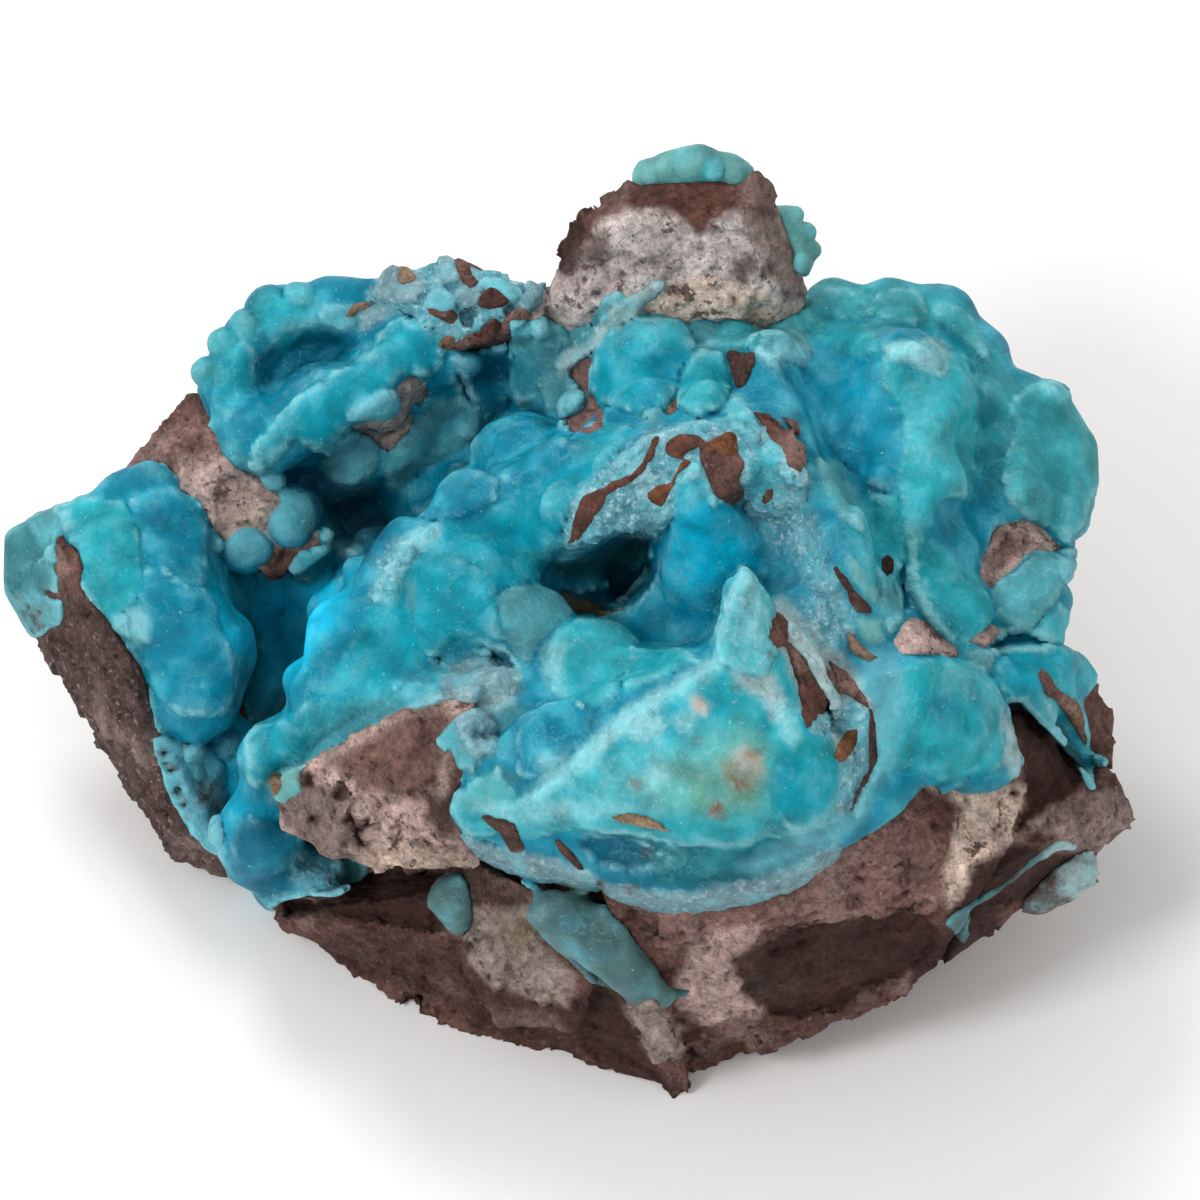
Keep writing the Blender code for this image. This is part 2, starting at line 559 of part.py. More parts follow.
def shell_volume(faces):
    """The volume inside some closed faces."""
    total = 0.0
    for f in faces:
        a = f.verts[0].co
        for one, two in zip(f.verts[1:], f.verts[2:]):
            total += a.dot(one.co.cross(two.co))
    return total / 6


def grown(obj, gap, voxel, name):
    """A copy of an object, a little larger all round, which keeps its neighbours clear of it."""
    bm = bmesh.new()
    bm.from_mesh(obj.data)
    bmesh.ops.remove_doubles(bm, verts=bm.verts, dist=MERGE)
    bmesh.ops.triangulate(bm, faces=bm.faces)
    bm.normal_update()
    moves = [v.normal * gap * min(v.calc_shell_factor(), SHARPEST) for v in bm.verts]
    for v, move in zip(bm.verts, moves):
        v.co += move
    cutter = helper(add_object(name, bm))
    remesh(cutter, voxel, NO_LIMIT)
    combine(cutter, obj, "UNION")  # a copy folds into itself in a narrow crevice
    return cutter


def block(name, corners, back, narrow):
    bm = bmesh.new()
    add_hull(bm, block_points(corners, back, narrow))
    return helper(add_object(name, bm))


def scoop(name, centre, radius, squash):
    bm = bmesh.new()
    bmesh.ops.create_icosphere(bm, subdivisions=3, radius=radius)
    bmesh.ops.scale(bm, vec=(1, squash, 1), verts=bm.verts)
    bmesh.ops.translate(bm, vec=face(*centre), verts=bm.verts)
    return helper(add_object(name, bm))


def floor_block():
    bm = bmesh.new()
    bmesh.ops.create_cube(bm, size=BELOW_FLOOR)
    bmesh.ops.translate(bm, vec=(0, 0, FLOOR - BELOW_FLOOR / 2), verts=bm.verts)
    return helper(add_object("below_floor", bm))


def build_host_rock():
    """The body with its blocks, fractures and resting face."""
    rock = build_body()
    for name, shape in BLOCKS.items():
        combine(rock, block(name, **shape), "UNION")
    for k, shape in enumerate(SCOOPS):
        combine(rock, scoop(f"scoop_{k}", *shape), "DIFFERENCE")
    combine(rock, floor_block(), "DIFFERENCE")
    keep_largest(rock)
    return rock


def add_sheet(bm):
    """The sheet of the crust: its top on the relief, wherever the crust lies, and its edge thin."""
    us = np.arange(*SHEET_U, SHEET_STEP)
    vs = np.arange(*SHEET_V, SHEET_STEP)
    half = SHEET_STEP / 2
    made = {}

    def corner(i, j):
        if (i, j) not in made:
            u, v = float(us[i]), float(vs[j])
            w = relief(u, v)
            deep = min(MOST_DEPTH, EDGE_DEPTH + DEPTH_GAIN * nearest(CRUST_OUTLINE, u, v))
            made[i, j] = bm.verts.new(face(u, v, w)), bm.verts.new(face(u, v, w - deep))
        return made[i, j]

    places = [(i, j) for i in range(len(us) - 1) for j in range(len(vs) - 1)]
    cells = {(i, j) for i, j in places if inside(CRUST_OUTLINE, us[i] + half, vs[j] + half)}
    for i, j in cells:
        around = [corner(i, j), corner(i + 1, j), corner(i + 1, j + 1), corner(i, j + 1)]
        bm.faces.new([top for top, _ in around])
        bm.faces.new([low for _, low in reversed(around)])
        sides = [((i, j - 1), 0, 1), ((i + 1, j), 1, 2), ((i, j + 1), 2, 3), ((i - 1, j), 3, 0)]
        for beside, a, b in sides:
            if beside not in cells:
                bm.faces.new((around[a][0], around[a][1], around[b][1], around[b][0]))


def add_ball(bm, centre, radius):
    made = bmesh.ops.create_icosphere(bm, subdivisions=2, radius=radius)
    bmesh.ops.translate(bm, vec=centre, verts=made["verts"])


def add_lumps(bm):
    """Small lumps scattered over the crust, each mostly sunk in it."""
    rng = random.Random(SEED)
    for _ in range(LUMP_TRIES):
        u, v = rng.uniform(*LUMP_U), rng.uniform(*LUMP_V)
        radius = rng.uniform(*LUMP_RADIUS)
        if inside(CRUST_OUTLINE, u, v):
            add_ball(bm, face(u, v, relief(u, v) - radius * rng.uniform(*LUMP_SUNK)), radius)


def build_crust(wide, least):
    """The botryoidal crust: a sheet with domes and lumps grown together, lying on the rock."""
    bm = bmesh.new()
    add_sheet(bm)
    for u, v, radius, rise in DOMES:
        add_ball(bm, face(u, v, relief(u, v) + rise - radius), radius)
    for corners in CRUST_BLOCKS.values():
        add_hull(bm, block_points(corners, into_rock(MASS_DEPTH), MASS_NARROW))
    add_lumps(bm)
    crust = add_object("smithsonite_crust", bm)
    remesh(crust, CRUST_VOXEL, NO_LIMIT)
    combine(crust, wide, "DIFFERENCE")
    remesh(crust, FINE_CRUST_VOXEL, CRUST_TRIANGLES)
    combine(crust, least, "DIFFERENCE")
    keep_largest(crust)
    return crust


def build_patch(name, balls, clearances):
    """A patch of crust apart from the rest: a few domes grown together."""
    bm = bmesh.new()
    for u, v, w, radius in balls:
        add_ball(bm, face(u, v, w), radius)
    patch = add_object(name, bm)
    remesh(patch, PATCH_VOXEL, NO_LIMIT)
    for clearance in clearances:
        combine(patch, clearance, "DIFFERENCE")
    remesh(patch, PATCH_VOXEL, PATCH_TRIANGLES)
    keep_largest(patch)
    return patch


def paint(obj, material_name):
    colour, roughness = MATERIALS[material_name]
    material = bpy.data.materials.get(material_name) or bpy.data.materials.new(material_name)
    material.use_nodes = True
    shader = material.node_tree.nodes["Principled BSDF"]
    shader.inputs["Base Color"].default_value = (*colour, 1)
    shader.inputs["Roughness"].default_value = roughness
    material.diffuse_color = (*colour, 1)
    obj.data.materials.clear()
    obj.data.materials.append(material)


def settle(nodes):
    """Moves the nodes so that the origin is on the floor under the middle of them all, in metres."""
    for obj in nodes:
        for v in obj.data.vertices:
            v.co = (v.co - Vector(ORIGIN)) * MM


def main():
    clear_scene()
    rock = build_host_rock()
    wide = grown(rock, WIDE_GAP, WIDE_VOXEL, "wide_clearance")
    least = grown(rock, LEAST_GAP, LEAST_VOXEL, "least_clearance")
    crust = build_crust(wide, least)
    beside = grown(crust, WIDE_GAP, WIDE_VOXEL, "crust_clearance")
    patches = [build_patch(name, balls, [wide, beside]) for name, balls in PATCHES.items()]
    paint(rock, "host_rock")
    for obj in [crust] + patches:
        paint(obj, "smithsonite")
    settle([rock, crust] + patches)


main()
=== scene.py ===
import math

import bpy
import numpy as np
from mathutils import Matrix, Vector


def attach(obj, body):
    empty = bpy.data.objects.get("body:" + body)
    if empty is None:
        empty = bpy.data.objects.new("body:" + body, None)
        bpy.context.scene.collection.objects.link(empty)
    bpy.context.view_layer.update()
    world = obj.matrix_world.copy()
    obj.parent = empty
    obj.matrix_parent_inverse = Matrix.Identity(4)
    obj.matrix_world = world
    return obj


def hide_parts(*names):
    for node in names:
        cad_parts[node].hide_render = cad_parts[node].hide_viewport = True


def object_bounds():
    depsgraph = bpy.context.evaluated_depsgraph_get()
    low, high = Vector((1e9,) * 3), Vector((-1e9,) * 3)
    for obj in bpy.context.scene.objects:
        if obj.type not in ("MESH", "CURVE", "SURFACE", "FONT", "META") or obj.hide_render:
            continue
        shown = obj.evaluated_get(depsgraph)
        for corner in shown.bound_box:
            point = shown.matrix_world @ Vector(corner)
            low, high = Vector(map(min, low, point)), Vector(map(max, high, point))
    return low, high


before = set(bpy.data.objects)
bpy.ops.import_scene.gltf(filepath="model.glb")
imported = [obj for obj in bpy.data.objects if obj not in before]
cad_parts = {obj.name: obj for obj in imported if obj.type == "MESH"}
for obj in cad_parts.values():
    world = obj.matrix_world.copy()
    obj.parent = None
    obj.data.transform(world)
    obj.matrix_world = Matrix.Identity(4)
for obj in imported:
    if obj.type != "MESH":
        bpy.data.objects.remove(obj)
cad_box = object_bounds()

import openvdb as vdb
from mathutils import Matrix, Vector

ROCK_NODE = "host_rock"
CRUST_NODES = [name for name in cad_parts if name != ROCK_NODE]
MOST_TRIANGLES = 195_000  # of a piece
LEAST_BODY = 500  # a loose body with fewer triangles is a crumb

# ------------------------------------------------------------------------------
# The display face. It leans back, with u to the right, v up the face and w out of it, in millimetres.
# A place on the specimen is named by where it shows in a 1200 by 1200 frame, 10 pixels to the millimetre.
# ------------------------------------------------------------------------------
MM = 0.001
FACE_UP, FACE_OUT = 0.6, 0.8  # share of v, and of w, that is height
ORIGIN = np.array([-3.2, 0.8, -34.0])  # the part's origin, from the middle of the display face
EYE = 900.0  # the eye's distance from the middle of the face
FRAME_PX, PX_PER_MM = 1200, 10.0

VOXEL = 0.4
BAND = 8  # voxels on each side of a surface that hold its distance
FAR = BAND * VOXEL
LOW, HIGH = np.array([-62.0, -54.0, -53.0]), np.array([57.0, 49.0, 34.0])  # corners of the grid
START = np.round(LOW / VOXEL).astype(int)  # the grid's first voxel
START_CELL = tuple(int(n) for n in START)
SHAPE = tuple(int(n) for n in np.ceil((HIGH - LOW) / VOXEL))
PLAN_U = ((np.arange(SHAPE[0]) + START[0]) * VOXEL)[:, None]
PLAN_V = ((np.arange(SHAPE[1]) + START[1]) * VOXEL)[None, :]
OUT_W = ((np.arange(SHAPE[2]) + START[2]) * VOXEL)[None, None, :]


def to_face(points_m):
    """World metres to millimetres on the display face."""
    p = np.asarray(points_m, float) / MM + ORIGIN
    x, y, z = p[..., 0], p[..., 1], p[..., 2]
    return np.stack([x, FACE_OUT * y + FACE_UP * z, -FACE_UP * y + FACE_OUT * z], axis=-1)


def to_world(points):
    """Millimetres on the display face to world metres."""
    u, v, w = points[..., 0], points[..., 1], points[..., 2]
    p = np.stack([u, FACE_OUT * v - FACE_UP * w, FACE_UP * v + FACE_OUT * w], axis=-1)
    return (p - ORIGIN) * MM


def smooth(low, high, x):
    """0 below low, 1 above high, and a smooth step between them."""
    t = np.clip((x - low) / (high - low), 0, 1)
    return t * t * (3 - 2 * t)


# ------------------------------------------------------------------------------
# Distance fields: every form is a grid of distances to its surface, below zero inside.
# ------------------------------------------------------------------------------
def node_mesh(name):
    """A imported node's points on the display face, and its triangles."""
    mesh = bpy.data.objects[name].data
    mesh.calc_loop_triangles()
    points = np.empty(len(mesh.vertices) * 3, np.float32)
    mesh.vertices.foreach_get("co", points)
    corners = np.empty(len(mesh.loop_triangles) * 3, np.int32)
    mesh.loop_triangles.foreach_get("vertices", corners)
    return to_face(points.reshape(-1, 3)), corners.reshape(-1, 3)


def field_of(names):
    """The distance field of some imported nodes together."""
    points, triangles, held = [], [], 0
    for name in names:
        p, t = node_mesh(name)
        points.append(p)
        triangles.append(t + held)
        held += len(p)
    grid = vdb.FloatGrid.createLevelSetFromPolygons(
        np.concatenate(points).astype(np.float32),
        triangles=np.concatenate(triangles).astype(np.uint32),
        transform=vdb.createLinearTransform(voxelSize=VOXEL),
        halfWidth=float(BAND),
    )
    field = np.empty(SHAPE, np.float32)
    grid.copyToArray(field, ijk=START_CELL)
    return field


def surface_of(field):
    """A field's surface, as points on the display face and triangles that face outwards."""
    grid = vdb.FloatGrid(FAR)
    grid.copyFromArray(np.clip(field, -FAR, FAR), ijk=START_CELL, tolerance=1e-4)
    grid.transform = vdb.createLinearTransform(voxelSize=VOXEL)
    points, triangles, quads = grid.convertToPolygons(isovalue=0.0)
    quads = quads.astype(np.int64)
    faces = np.concatenate([triangles.astype(np.int64), quads[:, [0, 1, 2]], quads[:, [0, 2, 3]]])
    a, b, c = (points[faces[:, k]].astype(float) for k in range(3))
    if np.einsum("ij,ij->i", a, np.cross(b, c)).sum() < 0:
        faces = faces[:, ::-1]
    return points.astype(float), faces


def without_crumbs(points, faces):
    """The surface without loose crumbs."""
    label = np.arange(len(points))
    while True:
        lowest = label[faces].min(axis=1)
        new = label.copy()
        for k in range(3):
            np.minimum.at(new, faces[:, k], lowest)
        new = new[new]
        if np.array_equal(new, label):
            break
        label = new
    names, counts = np.unique(label[faces[:, 0]], return_counts=True)
    kept = faces[np.isin(label[faces[:, 0]], names[counts >= LEAST_BODY])]
    used, kept = np.unique(kept, return_inverse=True)
    return points[used], kept.reshape(-1, 3)


def blurred(field, radius):
    """A field averaged over a box of about this radius in millimetres."""
    reach = max(1, round(radius / VOXEL))
    for axis in range(3):
        padded = np.pad(field, [(reach + 1, reach) if a == axis else (0, 0) for a in range(3)], mode="edge")
        total = np.cumsum(padded, axis=axis, dtype=np.float64)
        width = 2 * reach + 1
        before = (slice(None),) * axis
        ends = total[(*before, slice(width, None))]
        starts = total[(*before, slice(None, -width))]
        field = ((ends - starts) / width).astype(np.float32)
    return field


def sampled(field, points):
    """A field's values at points on the display face, read between its voxels."""
    at = points / VOXEL - START
    base = np.clip(np.floor(at).astype(int), 0, np.array(SHAPE) - 2)
    part = np.clip(at - base, 0, 1)
    total = np.zeros(len(points))
    for corner in range(8):
        step = np.array([corner & 1, corner >> 1 & 1, corner >> 2 & 1])
        share = np.where(step, part, 1 - part).prod(axis=1)
        i, j, k = (base + step).T
        total += share * field[i, j, k]
    return total


def cut_round(lowest, highest, margin):
    """The slices of the grid that hold a box of (u, v) or (u, v, w) and a margin round it."""
    axes = len(lowest)
    first = np.floor((lowest - margin) / VOXEL).astype(int) - START[:axes]
    last = np.ceil((highest + margin) / VOXEL).astype(int) - START[:axes] + 1
    return tuple(slice(max(a, 0), min(b, n)) for a, b, n in zip(first, last, SHAPE))


def ball(centre, radius):
    """The slices of the grid round a ball, and its distance field there."""
    cut = cut_round(centre, centre, radius + 1)
    u, v, w = PLAN_U[cut[0], :, None], PLAN_V[:, cut[1], None], OUT_W[:, :, cut[2]]
    far = np.sqrt((u - centre[0]) ** 2 + (v - centre[1]) ** 2 + (w - centre[2]) ** 2)
    return cut, far - radius


def unite(a, b, blend):
    """Two fields as one form, with a crease as soft as blend where they meet."""
    share = np.clip(0.5 + 0.5 * (a - b) / blend, 0, 1)
    return a * (1 - share) + b * share - blend * share * (1 - share)


def top_of(field):
    """For every (u, v), how far out the form's surface stands, or the grid's floor where it has none."""
    solid = field < 0
    last = SHAPE[2] - 1 - np.argmax(solid[:, :, ::-1], axis=2)
    height = (last + START[2]) * VOXEL
    rows, columns = np.indices(SHAPE[:2])
    inner = field[rows, columns, last]
    outer = field[rows, columns, np.minimum(last + 1, SHAPE[2] - 1)]
    height = height + VOXEL * inner / np.minimum(inner - outer, -1e-3)
    return np.where(solid.any(axis=2), height, LOW[2])


def placed(height, px, py):
    """The point of a surface that shows at a pixel, from the surface's heights."""
    w = 0.0
    for _ in range(6):
        nearer = 1 - w / EYE
        u = (px - FRAME_PX / 2) / PX_PER_MM * nearer
        v = (FRAME_PX / 2 - py) / PX_PER_MM * nearer
        i = int(np.clip(round(u / VOXEL) - START[0], 0, SHAPE[0] - 1))
        j = int(np.clip(round(v / VOXEL) - START[1], 0, SHAPE[1] - 1))
        w = float(height[i, j])
    return np.array([u, v, w])


def normals_of(points, faces):
    """Unit normals at the points of a surface."""
    a, b, c = (points[faces[:, k]] for k in range(3))
    flat = np.cross(b - a, c - a)
    total = np.zeros_like(points)
    for k in range(3):
        np.add.at(total, faces[:, k], flat)
    return total / np.maximum(np.linalg.norm(total, axis=1, keepdims=True), 1e-12)


# ------------------------------------------------------------------------------
# Noise at points, in millimetres
# ------------------------------------------------------------------------------
def hashed(cells, seed):
    """Three even random numbers for each whole-number cell."""
    c = cells.astype(np.int64)
    n = (c[..., 0] * 73856093 ^ c[..., 1] * 19349663 ^ c[..., 2] * 83492791 ^ seed * 2654435761) & 0xFFFFFFFF
    out = []
    for _ in range(3):
        n = (n ^ (n >> 16)) * 0x45D9F3B & 0xFFFFFFFF
        n = (n ^ (n >> 15)) * 0x2C1B3C6D & 0xFFFFFFFF
        out.append((n ^ (n >> 14)) / 0xFFFFFFFF)
    return np.stack(out, axis=-1)


def noise(points, size, seed):
    """Smooth noise from about -1 to 1, with bumps of about this size."""
    at = points / size
    base = np.floor(at)
    part = at - base
    fade = part * part * part * (part * (part * 6 - 15) + 10)
    total = np.zeros(len(points))
    for corner in range(8):
        step = np.array([corner & 1, corner >> 1 & 1, corner >> 2 & 1])
        slope = hashed(base + step, seed) * 2 - 1
        share = np.where(step, fade, 1 - fade).prod(axis=1)
        total += share * ((part - step) * slope).sum(axis=1)
    return total * 1.6


def fractal(points, size, seed, octaves):
    """Noise with finer and finer noise on it."""
    total = np.zeros(len(points))
    for k in range(octaves):
        total += noise(points, size / 2**k, seed + k) / 2**k
    return total


def nearest_cell(points, size, seed):
    """Each point's distance to the nearest of scattered centres, the way from it, and its own chances."""
    at = points / size
    base = np.floor(at)
    best = np.full(len(points), 1e9)
    way = np.zeros_like(points)
    chance = np.zeros_like(points)
    for step in np.ndindex(3, 3, 3):
        cell = base + np.array(step) - 1
        random = hashed(cell, seed)
        offset = at - cell - random
        far = np.linalg.norm(offset, axis=1)
        nearer = far < best
        best[nearer] = far[nearer]
        way[nearer] = offset[nearer]
        chance[nearer] = hashed(cell, seed + 101)[nearer]
    return best * size, way * size, chance


# ------------------------------------------------------------------------------
# Tints: red, green, blue, and how frosted with small crystals the smithsonite is, or how pitted the rock.
# ------------------------------------------------------------------------------
TINTS = {
    "navy": (0, 0.055, 0.105, 0),
    "deep": (0, 0.135, 0.225, 0),
    "blue": (0, 0.225, 0.345, 0),
    "bright": (0, 0.3, 0.4, 0),
    "azure": (0, 0.44, 0.66, 0),
    "glow": (0, 0.55, 0.88, 0),
    "turquoise": (0.008, 0.34, 0.41, 0.05),
    "aqua": (0.03, 0.3, 0.345, 0.05),
    "pale": (0.08, 0.46, 0.53, 0.3),
    "ice": (0.25, 0.64, 0.7, 0.6),
    "frost": (0.12, 0.39, 0.48, 1),
    "teal": (0, 0.22, 0.275, 0),
    "sea": (0.006, 0.13, 0.155, 0),
    "mist": (0.06, 0.265, 0.305, 0.05),
    "foam": (0.11, 0.4, 0.49, 0.1),
    "haze": (0.17, 0.3, 0.34, 0.5),
    "lichen": (0.13, 0.36, 0.345, 0.1),
    "moss": (0.15, 0.4, 0.29, 0.2),
    "chalk": (0.4, 0.53, 0.54, 0.7),
    "cream": (0.72, 0.56, 0.44, 0.3),
    "greypink": (0.66, 0.475, 0.43, 0.5),
    "grey": (0.42, 0.34, 0.3, 0.3),
    "mauve": (0.29, 0.16, 0.138, 0.8),
    "plum": (0.105, 0.066, 0.059, 1),
    "brown": (0.165, 0.082, 0.067, 0.5),
    "umber": (0.1, 0.046, 0.036, 0.3),
    "maroon": (0.052, 0.021, 0.016, 0),
    "slate": (0.08, 0.165, 0.17, 0),
    "dusk": (0.035, 0.18, 0.2, 0),
    "ivory": (0.98, 0.76, 0.63, 0.3),
    "ash": (0.8, 0.69, 0.67, 0.5),
    "taupe": (0.42, 0.31, 0.275, 0.5),
    "dun": (0.2, 0.15, 0.145, 0.5),
    "russet": (0.16, 0.065, 0.048, 0.1),
    "rust": (0.26, 0.095, 0.038, 0.3),
    "tan": (0.34, 0.225, 0.14, 0.3),
    "olive": (0.21, 0.155, 0.085, 0.1),
}

